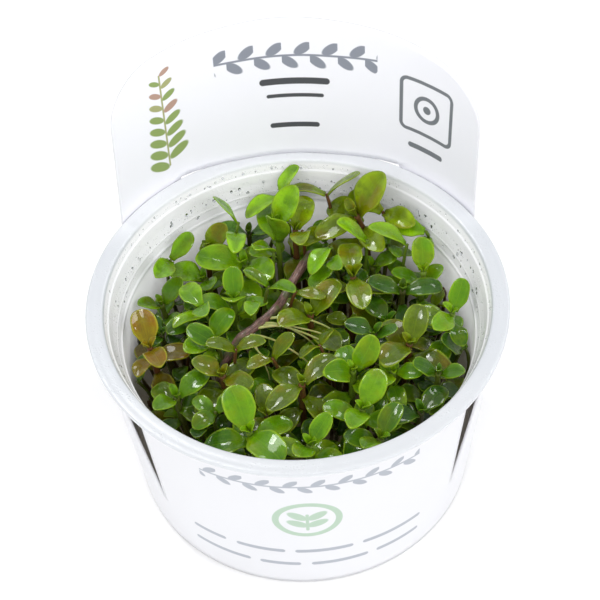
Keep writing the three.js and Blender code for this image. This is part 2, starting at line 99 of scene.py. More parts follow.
# Growing gel, and the gap that neighbours keep
GEL_TOP = 9.5
GAP = 0.3

# Shoots, with angles in degrees
STEM_RADIUS = 0.85
STEM_BEND = 0.3
FOOT_SPREAD = 0.84
FOOT_KICK = 6
NODE_HALF_HEIGHT = 0.7
INTERNODE = 6.2
RISE_DROP = 14
LOWER_FACE = 0.4
CURL_STEP = 0.05
LOWEST_RISE = -8
LEAF_THICKNESS = 0.8
SPACING = 0.5
WALL_SPACING = 0.9
GEL_SPACING = 1.5
SEED = 156


def mix(a, b, share):
    return (1 - share) * a + share * b


def smooth(value, low, high):
    share = min(1.0, max(0.0, (value - low) / (high - low)))
    return share * share * (3 - 2 * share)


def vector(x, y, z):
    return np.array((x, y, z), float)


def unit(v):
    return v / np.linalg.norm(v)


# Meshes
CUT_SHARE = 0.45


def make_object(name, points, faces, material):
    """A smooth object from points in millimetres."""
    mesh = bpy.data.meshes.new(name)
    mesh.from_pydata((np.asarray(points, float) * MM).tolist(), [], faces)
    mesh.update()
    mesh.polygons.foreach_set("use_smooth", [True] * len(mesh.polygons))
    mesh.materials.append(material)
    made = bpy.data.objects.new(name, mesh)
    bpy.context.scene.collection.objects.link(made)
    return made


def band_faces(first, rings, size, flip=False):
    """Faces between rings of points that are numbered from the first."""
    faces = []
    for low in range(first, first + (rings - 1) * size, size):
        for j in range(size):
            a, b = low + j, low + (j + 1) % size
            faces.append((b, a, a + size, b + size) if flip else (a, b, b + size, a + size))
    return faces


def fan_faces(first, size, tip, flip=False):
    """Faces from a ring of points to one tip."""
    pairs = [(first + j, first + (j + 1) % size) for j in range(size)]
    return [(b, a, tip) if flip else (a, b, tip) for a, b in pairs]


def turned_mesh(profile, segments):
    """Points and faces of a profile of (radius, height), from axis to axis, turned about the Z axis."""
    (_, start), *rings, (_, end) = profile
    turns = [2 * math.pi * i / segments for i in range(segments)]
    points = [(radius * math.cos(t), radius * math.sin(t), height) for radius, height in rings for t in turns]
    points += [(0, 0, start), (0, 0, end)]
    faces = fan_faces(0, segments, len(points) - 2, flip=True) + band_faces(0, len(rings), segments)
    return points, faces + fan_faces((len(rings) - 1) * segments, segments, len(points) - 1)


def rounded(corners, steps=3):
    """A profile with an arc at each of its inner corners, which are (radius, height, rounding)."""
    out = [corners[0][:2]]
    for before, corner, after in zip(corners, corners[1:], corners[2:]):
        here = np.array(corner[:2], float)
        to_before = np.array(before[:2], float) - here
        to_after = np.array(after[:2], float) - here
        cut = min(corner[2], CUT_SHARE * np.linalg.norm(to_before), CUT_SHARE * np.linalg.norm(to_after))
        arc = Bend(here + unit(to_before) * cut, here, here + unit(to_after) * cut)
        out += [arc.point(i / steps) for i in range(steps + 1)]
    out.append(corners[-1][:2])
    return out


# Materials
class Nodes:
    """A material's node tree, with short calls to add to it."""

    def __init__(self, name):
        self.material = bpy.data.materials.new(name)
        self.material.use_nodes = True
        self.tree = self.material.node_tree
        self.shader = self.tree.nodes["Principled BSDF"]
        self.point = self.add("ShaderNodeTexCoord").outputs["Object"]

    def put(self, socket, value):
        if isinstance(value, bpy.types.NodeSocket):
            self.tree.links.new(value, socket)
        else:
            socket.default_value = (*value, 1) if socket.type == "RGBA" else value

    def set(self, **values):
        """Sets or links the shader's inputs, named in lower case with underscores."""
        names = {s.name.lower().replace(" ", "_"): s for s in self.shader.inputs}
        for name, value in values.items():
            self.put(names[name], value)

    def add(self, kind, inputs=(), **settings):
        node = self.tree.nodes.new(kind)
        for name, value in settings.items():
            setattr(node, name, value)
        for name, value in dict(inputs).items():
            self.put(node.inputs[name], value)
        return node

    def math(self, operation, *values):
        return self.add("ShaderNodeMath", dict(enumerate(values)), operation=operation).outputs[0]

    def plus(self, a, b):
        return self.math("ADD", a, b)

    def minus(self, a, b):
        return self.math("SUBTRACT", a, b)

    def times(self, a, b):
        return self.math("MULTIPLY", a, b)

    def size(self, value):
        return self.math("ABSOLUTE", value)

    def most(self, first, *others):
        for other in others:
            first = self.math("MAXIMUM", first, other)
        return first

    def range(self, value, low, high, to_low=0.0, to_high=1.0):
        inputs = {"Value": value, "From Min": low, "From Max": high, "To Min": to_low, "To Max": to_high}
        return self.add("ShaderNodeMapRange", inputs, interpolation_type="SMOOTHSTEP").outputs[0]

    def mix(self, share, a, b):
        """A mix of two colours, whose sockets are the node's seventh and eighth."""
        return self.add("ShaderNodeMix", {0: share, 6: a, 7: b}, data_type="RGBA").outputs[2]

    def layers(self, colour, *layers):
        """Lays colours over one another, each where a value runs from a low to a high, up to a most."""
        for value, low, high, most, tone in layers:
            colour = self.mix(self.range(value, low, high, 0.0, most), colour, tone)
        return colour

    def vector(self, operation, a, b=(0, 0, 0)):
        return self.add("ShaderNodeVectorMath", {0: a, 1: b}, operation=operation).outputs[0]

    def length(self, a):
        return self.add("ShaderNodeVectorMath", {0: a}, operation="LENGTH").outputs["Value"]

    def split(self, place):
        return self.add("ShaderNodeSeparateXYZ", {0: place}).outputs

    def join(self, x, y):
        return self.add("ShaderNodeCombineXYZ", {0: x, 1: y}).outputs[0]

    def uv(self, name):
        return self.add("ShaderNodeUVMap", uv_map=name).outputs[0]

    def noise(self, scale, detail, roughness, place=None):
        inputs = {"Vector": place or self.point, "Scale": scale, "Detail": detail, "Roughness": roughness}
        return self.add("ShaderNodeTexNoise", inputs).outputs[0]

    def bump(self, height, strength, distance):
        inputs = {"Height": height, "Strength": strength, "Distance": distance}
        self.set(normal=self.add("ShaderNodeBump", inputs).outputs[0])


# Leaf colours: a leaf's blade, its lighter tint, its shaded tint, its warm flush and its stem. A leaf's tint
# moves it towards the shaded tint as painted shade, and towards the lighter tint as painted light. Leaves at
# the back go past the lighter tint, up to SUNLIT times as bright, as painted light.
SUNLIT = 1.55
VEINS = 2.6
# The colour of the painted rim light along a leaf's margin
MARGIN = (0.34, 0.42, 0.03)
UNDERSIDE = (0.11, 0.17, 0.02)
OLD_STEM = (0.120, 0.052, 0.022)
LEAF_COLOURS = {
    "leaf_bright": (
        (0.102, 0.245, 0.0012), (0.190, 0.370, 0.0025), (0.040, 0.130, 0.0012), (0.170, 0.250, 0.0012),
        (0.110, 0.180, 0.015)),
    "leaf_green": (
        (0.062, 0.160, 0.0010), (0.130, 0.280, 0.0020), (0.022, 0.078, 0.0015), (0.110, 0.150, 0.0010),
        (0.080, 0.105, 0.012)),
    "leaf_deep": (
        (0.028, 0.090, 0.0020), (0.060, 0.165, 0.0025), (0.011, 0.042, 0.0025), (0.056, 0.085, 0.0012),
        (0.050, 0.055, 0.010)),
    "leaf_olive": (
        (0.090, 0.145, 0.0010), (0.160, 0.240, 0.0020), (0.042, 0.072, 0.0012), (0.165, 0.125, 0.0010),
        (0.110, 0.050, 0.015)),
    "leaf_amber": (
        (0.205, 0.155, 0.0015), (0.300, 0.245, 0.0030), (0.100, 0.075, 0.0020), (0.200, 0.090, 0.0020),
        (0.120, 0.045, 0.015)),
}


def leaf_material(slot):
    """A waxy leaf. The growth attribute holds the leaf's tint, which carries painted light and shade, its
    underside, stem share and age.
    """
    blade, light, shade, flush, stem = LEAF_COLOURS[slot]
    nodes = Nodes(slot)
    growth = nodes.add("ShaderNodeAttribute", attribute_name="growth", attribute_type="GEOMETRY").outputs
    tint, under, stem_share = nodes.add("ShaderNodeSeparateColor", {0: growth["Color"]}).outputs
    along, sideways, _ = nodes.split(nodes.uv("leaf"))
    across = nodes.size(sideways)
    mottle = nodes.noise(520.0, 3.0, 0.6)
    patches = nodes.noise(150.0, 2.0, 0.5)
    # The tint lays painted shade and painted light over the blade: the shaded tint, the lighter tint and past
    # it a sunlit colour.
    colour = nodes.layers(
        blade,
        (tint, 0.5, 1.0, 1.0, light),
        (tint, 0.5, 0.0, 1.0, shade),
        (tint, 1.0, 1.5, 1.0, [SUNLIT * c for c in light]),
        (patches, 0.48, 0.66, 0.75, flush),
        (patches, 0.47, 0.33, 0.55, shade),
        (mottle, 0.48, 0.75, 0.45, shade),
        (along, 0.4, 0.0, 0.5, light),
    )
    # A paler midrib, fine side veins that run together at the tip, a darker middle and a thin pale margin,
    # which is painted rim light
    midrib = nodes.range(across, 0.09, 0.02, 0.0, 0.4)
    vein = nodes.size(nodes.minus(nodes.math("FRACT", nodes.times(across, VEINS)), 0.5))
    lines = nodes.most(midrib, nodes.range(vein, 0.10, 0.02, 0.0, 0.2))
    colour = nodes.mix(lines, colour, light)
    colour = nodes.mix(nodes.range(across, 0.75, 0.15, 0.0, 0.35), colour, shade)
    # Painted rim light along the margin and round the tip
    edge = nodes.most(nodes.range(across, 0.80, 0.95), nodes.range(along, 0.94, 0.985))
    colour = nodes.mix(nodes.times(edge, 0.85), colour, nodes.mix(0.35, light, MARGIN))
    colour = nodes.mix(nodes.times(under, 0.75), colour, nodes.mix(0.4, colour, UNDERSIDE))
    colour = nodes.mix(stem_share, colour, nodes.mix(nodes.range(growth["Alpha"], 0.2, 1.0), stem, OLD_STEM))
    # The blade arches across, and is a little puckered.
    arch = nodes.times(nodes.math("POWER", across, 2.0), -2.6)
    relief = nodes.plus(nodes.times(lines, -0.5), nodes.times(nodes.noise(1200.0, 2.0, 0.6), 1.2))
    nodes.bump(nodes.plus(relief, arch), 0.7, 0.00022)
    nodes.set(
        base_color=colour,
        roughness=nodes.range(mottle, 0.3, 0.8, 0.26, 0.42),
        coat_weight=0.55,
        coat_roughness=0.06,
        specular_ior_level=0.1,
        subsurface_weight=0.2,
        subsurface_radius=(0.5, 1.0, 0.1),
        subsurface_scale=0.0008,
    )
    return nodes.material


def stem_material():
    """Old, woody red-brown stem."""
    nodes = Nodes("old_stem")
    streaks = nodes.noise(1.0, 4.0, 0.6, nodes.uv("leaf"))
    patches = nodes.noise(240.0, 3.0, 0.6)
    colour = nodes.layers(
        (0.055, 0.026, 0.020),
        (streaks, 0.35, 0.65, 1.0, (0.240, 0.125, 0.098)),
        (patches, 0.50, 0.6, 0.75, (0.070, 0.090, 0.016)),
        (patches, 0.40, 0.30, 0.7, (0.035, 0.022, 0.018)),
    )
    nodes.bump(nodes.plus(streaks, patches), 0.8, 0.0004)
    nodes.set(base_color=colour, roughness=0.42, coat_weight=0.35, coat_roughness=0.15)
    return nodes.material


def root_material():
    nodes = Nodes("thin_root")
    shade = nodes.noise(500.0, 3.0, 0.6)
    colour = nodes.mix(nodes.range(shade, 0.3, 0.7), (0.30, 0.34, 0.07), (0.52, 0.52, 0.20))
    nodes.bump(shade, 0.3, 0.00008)
    nodes.set(base_color=colour, roughness=0.4, subsurface_weight=0.2, subsurface_scale=0.0006)
    return nodes.material


def gel_material():
    nodes = Nodes("gel")
    cloud = nodes.noise(60.0, 3.0, 0.55)
    colour = nodes.mix(nodes.range(cloud, 0.3, 0.7), (0.72, 0.68, 0.45), (0.86, 0.82, 0.62))
    nodes.bump(cloud, 0.25, 0.0006)
    nodes.set(base_color=colour, roughness=0.12, ior=1.34, transmission_weight=0.75)
    return nodes.material


def plastic_material():
    """Thin milky clear plastic, misted with tiny beads of water on its upper wall. Places are in metres."""
    nodes = Nodes("cup_plastic")
    x, y, height = nodes.split(nodes.point)
    haze = nodes.noise(45.0, 3.0, 0.6)
    fine = nodes.noise(1500.0, 2.0, 0.5)
    cells = nodes.add("ShaderNodeTexVoronoi", {"Vector": nodes.point, "Scale": 1500.0}).outputs[0]
    patches = nodes.range(nodes.noise(140.0, 3.0, 0.6), 0.45, 0.6)
    misted = nodes.times(nodes.range(height, 0.047, 0.050), patches)
    beads = nodes.times(nodes.range(cells, 0.42, 0.1), misted)
    wall = nodes.layers((0.960, 0.960, 0.995), (haze, 0.35, 0.7, 1.0, (0.985, 0.982, 1.000)))
    # The flange is paler in front, and at the back, where the white header shines through it; both are
    # painted light.
    flange = nodes.layers(
        (0.625, 0.650, 0.685),
        (y, -0.018, -0.034, 1.0, (0.665, 0.685, 0.715)),
        (y, 0.016, 0.036, 1.0, (0.830, 0.848, 0.875)),
    )
    colour = nodes.layers(wall, (height, 0.0572, 0.0580, 1.0, flange))
    # The inside below the step glows faintly at the back and the sides. The glow is painted light, standing
    # in for light that the clear wall carries down from its rim.
    past_foot = nodes.minus(nodes.length(nodes.join(x, y)), nodes.times(height, 0.0211))
    inside = nodes.times(nodes.range(past_foot, 0.0419, 0.0416), nodes.range(height, 0.028, 0.040))
    lit = nodes.times(inside, nodes.range(y, -0.018, -0.008))
    painted_glow = nodes.mix(lit, (0.105, 0.095, 0.070), (1.0, 1.0, 1.0))
    painted_glow = nodes.mix(nodes.range(height, 0.0478, 0.0466), (0, 0, 0), painted_glow)
    relief = nodes.plus(nodes.times(haze, 0.5), nodes.times(fine, 0.03))
    nodes.bump(nodes.plus(relief, nodes.times(beads, 0.18)), 0.4, 0.0008)
    nodes.set(base_color=colour, roughness=0.18, ior=1.40, transmission_weight=0.14)
    # A glow of painted light, though the cup is no lamp
    nodes.set(emission_color=painted_glow, emission_strength=0.2)
    return nodes.material


def water_material():
    nodes = Nodes("water_drop")
    nodes.bump(nodes.noise(300.0, 2.0, 0.5), 0.1, 0.0002)
    nodes.set(base_color=(0.97, 0.99, 1.0), roughness=0.02, ior=1.333, transmission_weight=1.0)
    return nodes.material


# The card's print, laid out in millimetres: along the sheet from its middle, and up it
SHEET_UNIT = 100
PRINT_EDGE = 0.12
# WHITE and PAINTED_LIGHT_WHITE are one white card stock: the brighter copy, on the header's face, is painted
# light.
WHITE = (0.712, 0.717, 0.744)
PAINTED_LIGHT_WHITE = (0.893, 0.892, 0.952)
BLUE_GREY = (0.255, 0.272, 0.325)
PALE_GREY = (0.350, 0.375, 0.425)
DARK_GREY = (0.075, 0.077, 0.088)
LINE_GREY = (0.180, 0.192, 0.215)
PALE_GREEN = (0.390, 0.520, 0.405)
SPRIG_COLOURS = ((0.270, 0.360, 0.120), (0.380, 0.390, 0.180), (0.460, 0.300, 0.240))


class Print(Nodes):
    """Smooth white card with flat marks on it. Each mark is a mask from 0 to 1."""

    def __init__(self, name, white):
        super().__init__(name)
        self.place = self.vector("MULTIPLY", self.uv("sheet"), (SHEET_UNIT, SHEET_UNIT, 0))
        cloud = self.range(self.noise(25.0, 2.0, 0.5), 0.3, 0.7)
        self.colour = self.mix(cloud, [0.985 * c for c in white], white)

    def filled(self, distance):
        return self.range(distance, PRINT_EDGE, -PRINT_EDGE)

    def past_plate(self, middle, size, corner):
        """How far a place is outside a plate with round corners."""
        away = self.vector("ABSOLUTE", self.vector("SUBTRACT", self.place, (*middle, 0)))
        past = self.vector("SUBTRACT", away, (size[0] / 2 - corner, size[1] / 2 - corner, 0))
        return self.minus(self.length(self.vector("MAXIMUM", past)), corner)

    def plate(self, middle, size, corner):
        return self.filled(self.past_plate(middle, size, corner))

    def outline(self, middle, size, corner, line):
        past = self.plus(self.past_plate(middle, size, corner), line / 2)
        return self.filled(self.minus(self.size(past), line / 2))

    def leaf(self, middle, size, turn, place=None):
        inputs = {"Vector": place or self.place, "Center": (*middle, 0), "Angle": -math.radians(turn)}
        turned = self.add("ShaderNodeVectorRotate", inputs, rotation_type="Z_AXIS").outputs[0]
        offset = self.vector("SUBTRACT", turned, (*middle, 0))
        share = self.length(self.vector("DIVIDE", offset, (size[0] / 2, size[1] / 2, 1)))
        return self.range(share, 1 + PRINT_EDGE, 1 - PRINT_EDGE)

    def vine(self, middle, size, period, leaf):
        """A thin line with leaves set along it, first above and then below."""
        x, y, _ = self.split(self.place)
        wrapped = self.math("WRAP", self.minus(x, middle[0]), period / 2, -period / 2)
        up = self.minus(y, middle[1])
        place = self.join(wrapped, up)
        rise = size[1] / 4
        leaves = [self.leaf((side * period / 4, side * rise), leaf, side * 38, place) for side in (-1, 1)]
        line = self.filled(self.minus(self.size(up), 0.3))
        return self.times(self.most(line, *leaves), self.plate(middle, size, 1))

    def ink(self, colour, *masks):
        self.colour = self.mix(self.most(*masks), self.colour, colour)


def front_print(sheet):
    """Pale marks on the front panel: a vine over a round plant sign and two broken rules."""
    sheet.ink(PALE_GREY, sheet.vine((0.8, 49.2), (52, 5.6), 6.2, (4.2, 1.9)))
    ring = sheet.outline((-0.5, 33.4), (16.4, 16.4), 8.2, 1.6)
    stalk = sheet.plate((-0.5, 32.2), (0.8, 8), 0.4)
    spots = ((-2.8, 35.2, 140), (1.8, 35.2, 40), (-2.8, 31.6, 150), (1.8, 31.6, 30))
    sheet.ink(PALE_GREEN, ring, stalk, *[sheet.leaf((x, y), (5.6, 2.7), turn) for x, y, turn in spots])
    upper = ((-25.5, 9), (-12.2, 12), (3.2, 14), (20.6, 16))
    lower = ((-22.5, 15), (-7.6, 10), (7.0, 14), (22.2, 12))
    for y, rules in ((17.4, upper), (10.6, lower)):
        sheet.ink(PALE_GREY, *[sheet.plate((x, y), (width, 1.5), 0.7) for x, width in rules])


def back_print(sheet):
    """The header's marks, and faint small rows on the card behind the cup."""
    sheet.ink(BLUE_GREY, sheet.vine((3, 88.4), (41, 7.6), 6.9, (5.2, 2.6)))
    bars = (((2.4, 80.9), (17.6, 1.9), 0.9), ((2.4, 76.6), (14.4, 1.1), 0.5), ((2.0, 67.6), (12.6, 1.5), 0.7))
    sheet.ink(DARK_GREY, *[sheet.plate(*bar) for bar in bars])
    sign = (37.4, 78.4)
    square = sheet.outline(sign, (15.8, 15.8), 2.2, 1.0)
    ring = sheet.outline(sign, (7.6, 7.6), 3.8, 1.1)
    dot = sheet.plate(sign, (2.2, 2.2), 1.1)
    sheet.ink(LINE_GREY, square, ring, dot, sheet.plate((37.4, 66.4), (10.4, 1.5), 0.7))
    # A sprig with leaves in pairs
    sheet.ink(SPRIG_COLOURS[1], sheet.plate((-32.2, 77), (0.5, 27), 0.2))
    for i in range(8):
        length = 6.4 - 0.45 * i
        for side in (-1, 1):
            middle = (-32.2 + side * 0.48 * length, 66.0 + 3.4 * i + 1.2 * side)
            ink = SPRIG_COLOURS[0] if i < 4 else SPRIG_COLOURS[(i + side) % 3]
            sheet.ink(ink, sheet.leaf(middle, (length, 0.42 * length), 90 - side * 62))
    # Rows with ragged gaps
    x, y, _ = sheet.split(sheet.place)
    row = sheet.math("DIVIDE", y, 2.7)
    off_line = sheet.size(sheet.minus(sheet.math("FRACT", row), 0.5))
    spot = sheet.join(x, sheet.times(sheet.math("FLOOR", row), 7.3))
    ragged = sheet.range(sheet.noise(0.9, 1.0, 0.5, spot), 0.44, 0.48)
    rows = sheet.times(sheet.range(off_line, 0.2, 0.12), ragged)
    rows = sheet.times(rows, sheet.plate((0, 44), (96, 22), 0.1))
    sheet.ink(PALE_GREY, sheet.times(rows, sheet.range(sheet.size(x), 8.0, 9.0)))


def card_material(name, white, marks=None):
    sheet = Print(name, white)
    if marks:
        marks(sheet)
    sheet.bump(sheet.noise(1500.0, 4.0, 0.6), 0.08, 0.0001)
    sheet.set(base_color=sheet.colour, roughness=0.42, coat_weight=0.12, coat_roughness=0.25)
    return sheet.material


# Camera: where it stands and where it looks, its roll, and its lens on a 36 mm wide frame
CAMERA_PLACE = vector(0, -228.9, 328.5)
CAMERA_AIM = vector(0.668, 0.3, 56.977)
CAMERA_ROLL = -3.09
CAMERA_LENS = 90
FLOOR_REACH = 6000
SKY_STRENGTH = 0.46


def make_camera():
    camera = bpy.data.objects.new("camera", bpy.data.cameras.new("camera"))
    bpy.context.scene.collection.objects.link(camera)
    facing = Vector(CAMERA_PLACE - CAMERA_AIM).to_track_quat("Z", "Y")
    roll = Quaternion((0, 0, 1), math.radians(CAMERA_ROLL))
    camera.rotation_euler = (facing @ roll).to_euler()
    camera.location = CAMERA_PLACE * MM
    camera.data.sensor_width = 36
    camera.data.lens = CAMERA_LENS
    camera.data.clip_start = 0.01
    bpy.context.scene.camera = camera


def sun(name, azimuth, elevation, width, strength, spread=True, gloss=True):
    """A light from a direction, in degrees; azimuth 0 is the right and 90 the back. It may light no gloss
    or only gloss."""
    light = bpy.data.objects.new(name, bpy.data.lights.new(name, "SUN"))
    bpy.context.scene.collection.objects.link(light)
    light.data.energy = strength
    light.data.angle = math.radians(width)
    light.visible_diffuse = spread
    light.visible_glossy = gloss
    light.rotation_euler = (math.radians(90 - elevation), 0, math.radians(azimuth + 90))


def make_studio():
    scene = bpy.context.scene
    scene.view_settings.view_transform = "Standard"
    world = bpy.data.worlds.new("studio")
    world.use_nodes = True
    light = world.node_tree.nodes["Background"].inputs
    light["Color"].default_value = (1, 1, 1, 1)
    light["Strength"].default_value = SKY_STRENGTH
    scene.world = world
    sun("front", -85, 48, 70, 1.62, gloss=False)
    sun("left", -160, 32, 60, 0.82, gloss=False)
    sun("right", -20, 32, 60, 0.98, gloss=False)
    sun("back_left", 128, 54, 11, 0.7)
    sun("back_right", 25, 46, 9, 0.4)
    sun("softbox_left", 112, 60, 18, 0.75, spread=False)
    sun("softbox_right", 60, 50, 14, 0.45, spread=False)
    nodes = Nodes("floor")
    colour = nodes.mix(nodes.noise(8.0, 2.0, 0.5), (0.875, 0.875, 0.88), (0.895, 0.895, 0.90))
    nodes.set(base_color=colour, roughness=0.7)
    corners = [(x * FLOOR_REACH, y * FLOOR_REACH, 0) for x, y in ((-1, -1), (1, -1), (1, 1), (-1, 1))]
    make_object("floor", corners, [(0, 1, 2, 3)], nodes.material)


# Cup
def inner_radius(height):
    if height > STEP_HEIGHT:
        return mix(STEP_RADIUS, MOUTH_RADIUS, (height - STEP_HEIGHT) / (RIM_HEIGHT - STEP_HEIGHT))
    return mix(FOOT_INNER_RADIUS, STEP_RADIUS - LEDGE, (height - FLOOR) / (STEP_HEIGHT - FLOOR))


def make_cup(material):
    def wall(height, inset=0.0, rounding=0.2):
        return inner_radius(height) - inset, height, rounding

    under = RIM_HEIGHT - FLANGE_THICKNESS
    ledge = STEP_HEIGHT - LEDGE
    corners = [
        (0, 0.12),
        (FOOT_INNER_RADIUS - 3, 0.12, 0.2),
        (FOOT_INNER_RADIUS - 2.2, 0, 0.2),
        (FOOT_INNER_RADIUS + WALL, 0, 1.1),
        (inner_radius(ledge) + WALL, ledge - WALL, 0.3),
        (STEP_RADIUS + WALL, STEP_HEIGHT - WALL, 0.3),
        (inner_radius(under) + WALL, under, 0.5),
        (RIM_RADIUS - LIP_WIDTH, under, 0.3),
        (RIM_RADIUS - LIP_WIDTH, RIM_HEIGHT - LIP_HEIGHT, 0.15),
        (RIM_RADIUS, RIM_HEIGHT - LIP_HEIGHT, 0.25),
        (RIM_RADIUS, RIM_HEIGHT, 0.45),
        (RIM_RADIUS - 1.7, RIM_HEIGHT - 0.12, 0.5),
        (MOUTH_RADIUS, RIM_HEIGHT - 0.05, 0.5),
        wall(56),
        (inner_radius(55.7) - 0.3, 55.6, 0.2),
        wall(53),
        wall(50.6),
        wall(50.3, 0.1, 0.15),
        wall(49.9),
        (STEP_RADIUS, STEP_HEIGHT, 0.3),
        wall(ledge, 0, 0.3),
        (FOOT_INNER_RADIUS, FLOOR, 1.4),
        (0, FLOOR),
    ]
    cup = make_object("growing_cup", *turned_mesh(rounded(corners), CUP_SEGMENTS), material)
    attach(cup, "root")
    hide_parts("cup")


def make_gel(material):
    wall = GAP / 2
    corners = [
        (0, FLOOR + GAP / 2),
        (inner_radius(FLOOR) - wall, FLOOR + GAP / 2, 1.3),
        (inner_radius(GEL_TOP) - wall, GEL_TOP + 0.7, 0.1),
        (inner_radius(GEL_TOP) - 1.6, GEL_TOP, 1.2),
        (0, GEL_TOP),
    ]
    gel = make_object("growing_gel", *turned_mesh(rounded(corners, steps=5), CUP_SEGMENTS), material)
    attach(gel, "root")
    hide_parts("nutrient_gel")


# Card
def card_top_radius(angle):
    away = abs(angle)
    if away < HEADER_EDGE_ANGLE:
        return mix(BACK_TOP_RADIUS, BESIDE_SLOT_RADIUS, smooth(away, BULGE_START_ANGLE, BULGE_END_ANGLE))
    slit_angle = 180 - SLIT_BACK_ANGLE
    left = max(0.0, (slit_angle - away) / (slit_angle - HEADER_EDGE_ANGLE))
    return mix(FRONT_TOP_RADIUS, BESIDE_SLOT_RADIUS, left * left)


def card_radius(angle, height):
    share = min(1.0, (height - CARD_FOOT) / (RIM_HEIGHT - CARD_FOOT))
    lean = max(0.0, height - RIM_HEIGHT) * math.tan(math.radians(HEADER_LEAN))
    return mix(CARD_FOOT_RADIUS, card_top_radius(angle), share) + lean


def card_point(angle, height):
    """A point of the card's outside, for an angle in degrees away from the back."""
    radius = card_radius(angle, height)
    turn = math.radians(angle)
    return (radius * math.sin(turn), radius * math.cos(turn), height)


def header_height(x):
    """The height of the header's top edge over a place across it, before it is tilted."""
    x = abs(x)
    arch_centre = HEADER_TOP - HEADER_ARCH_RADIUS
    shoulder_x = HEADER_HALF_WIDTH - SHOULDER_RADIUS
    reach = HEADER_ARCH_RADIUS - SHOULDER_RADIUS
    shoulder_y = arch_centre + math.sqrt(reach * reach - shoulder_x * shoulder_x)
    if x < shoulder_x * HEADER_ARCH_RADIUS / reach:
        return arch_centre + math.sqrt(HEADER_ARCH_RADIUS**2 - x * x)
    return shoulder_y + math.sqrt(max(0.0, SHOULDER_RADIUS**2 - (x - shoulder_x) ** 2))


def header_angle(x, height):
    """The angle at which the card stands that far across, at a height, with the header's tilt. The radius
    depends on the angle, so the angle is bettered in turns."""
    lean = math.radians(HEADER_TILT)
    across = HEADER_SHIFT + x * math.cos(lean) + (height - BAND_TOP) * math.sin(lean)
    angle = 0.0
    for _ in range(ANGLE_TURNS):
        angle = math.degrees(math.asin(max(-0.99, min(0.99, across / card_radius(angle, height)))))
    return angle


def make_card():
    """The outside of the card as one sheet, which is then thickened inwards."""
    places = []
    numbers = {}
    faces = []
    in_front = []

    def add(angle, height):
        """The number of a point, which is a new one if none is there yet."""
        key = (round(angle, 4), round(height, 4))
        if key not in numbers:
            numbers[key] = len(places)
            places.append((angle, height))
        return numbers[key]

    def fill(rows, front=False):
        for low, high in zip(rows, rows[1:]):
            faces.extend(zip(low, high, high[1:], low[1:]))
            in_front.extend([front] * (len(low) - 1))

    shoulder = np.arange(SHOULDER_COLUMNS) * math.pi / (2 * SHOULDER_COLUMNS)
    corner = HEADER_HALF_WIDTH - SHOULDER_RADIUS * (1 - np.cos(shoulder))
    slot = np.linspace(-SLOT_HALF_WIDTH, SLOT_HALF_WIDTH, SLOT_COLUMNS) - HEADER_SHIFT
    beside = (slot[0] - SLOT_MARGIN, slot[-1] + SLOT_MARGIN, slot[-1] + 2 * SLOT_MARGIN)
    across = np.unique(np.round([*corner, *-corner, *slot, *beside], 5))
    header_angles = [header_angle(x, BAND_TOP) for x in across]

    front_edge = 180 - SLIT_FRONT_ANGLE
    widening = (SLIT_BACK_ANGLE - SLIT_FRONT_ANGLE) / (BAND_TOP - SLIT_TIP_HEIGHT)

    def back_row(height):
        edge = front_edge - widening * max(0, height - SLIT_TIP_HEIGHT)
        left = np.linspace(-edge, header_angles[0], SIDE_COLUMNS)[:-1]
        right = np.linspace(header_angles[-1], edge, SIDE_COLUMNS)[1:]
        return [add(angle, height) for angle in (*left, *header_angles, *right)]

    def front_row(height):
        angles = np.linspace(front_edge, 360 - front_edge, FRONT_COLUMNS)
        return [add((angle + 180) % 360 - 180, height) for angle in angles]

    for low, high, count in ((CARD_FOOT, SLIT_TIP_HEIGHT, LOW_ROWS), (SLIT_TIP_HEIGHT, BAND_TOP, SLIT_ROWS)):
        heights = np.linspace(low, high, count)
        fill([back_row(height) for height in heights])
        fill([front_row(height) for height in heights], front=True)

    # The header: rows up to the slot's foot, up to its top, and on to the arch
    slot_low = RIM_HEIGHT - LIP_HEIGHT / 2 - SLOT_HEIGHT / 2
    slot_high = slot_low + SLOT_HEIGHT
    tilt = math.tan(math.radians(HEADER_TILT))

    def header_row(share):
        heights = [mix(slot_high, header_height(x) - x * tilt, share) for x in across]
        return [add(header_angle(x, height), height) for x, height in zip(across, heights)]

    low_row = [add(header_angle(x, slot_low), slot_low) for x in across]
    high_row = header_row(0)
    fill([[add(angle, BAND_TOP) for angle in header_angles], low_row])
    for i, middle in enumerate((across[1:] + across[:-1]) / 2):
        if abs(middle + HEADER_SHIFT) > SLOT_HALF_WIDTH:
            fill([low_row[i : i + 2], high_row[i : i + 2]])
    fill([high_row] + [header_row(share) for share in np.linspace(0, 1, HEADER_ROWS)[1:]])

    points = [card_point(*place) for place in places]
    card = make_object("printed_card", points, faces, card_material("card_front", WHITE, front_print))
    card.data.materials.append(card_material("card_bare", WHITE))
    card.data.materials.append(card_material("card_back", PAINTED_LIGHT_WHITE, back_print))
    uv = card.data.uv_layers.new(name="sheet")
    for polygon, front in zip(card.data.polygons, in_front):
        polygon.material_index = 0 if front else 1
        for loop in polygon.loop_indices:
            angle, height = places[card.data.loops[loop].vertex_index]
            turn = math.copysign(180, angle) - angle if front else angle
            along = math.radians(turn) * card_radius(angle, height)
            uv.data[loop].uv = (along / SHEET_UNIT, height / SHEET_UNIT)
    # The inside takes the next material, so that the header's print faces the front.
    thick = card.modifiers.new("thickness", "SOLIDIFY")
    thick.thickness = CARD_THICKNESS * MM
    thick.offset = -1
    thick.material_offset = 1
    bpy.context.view_layer.update()
    thickened = bpy.data.meshes.new_from_object(card.evaluated_get(bpy.context.evaluated_depsgraph_get()))
    card.modifiers.clear()
    card.data = thickened
    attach(card, "root")
    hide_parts("card_sleeve")


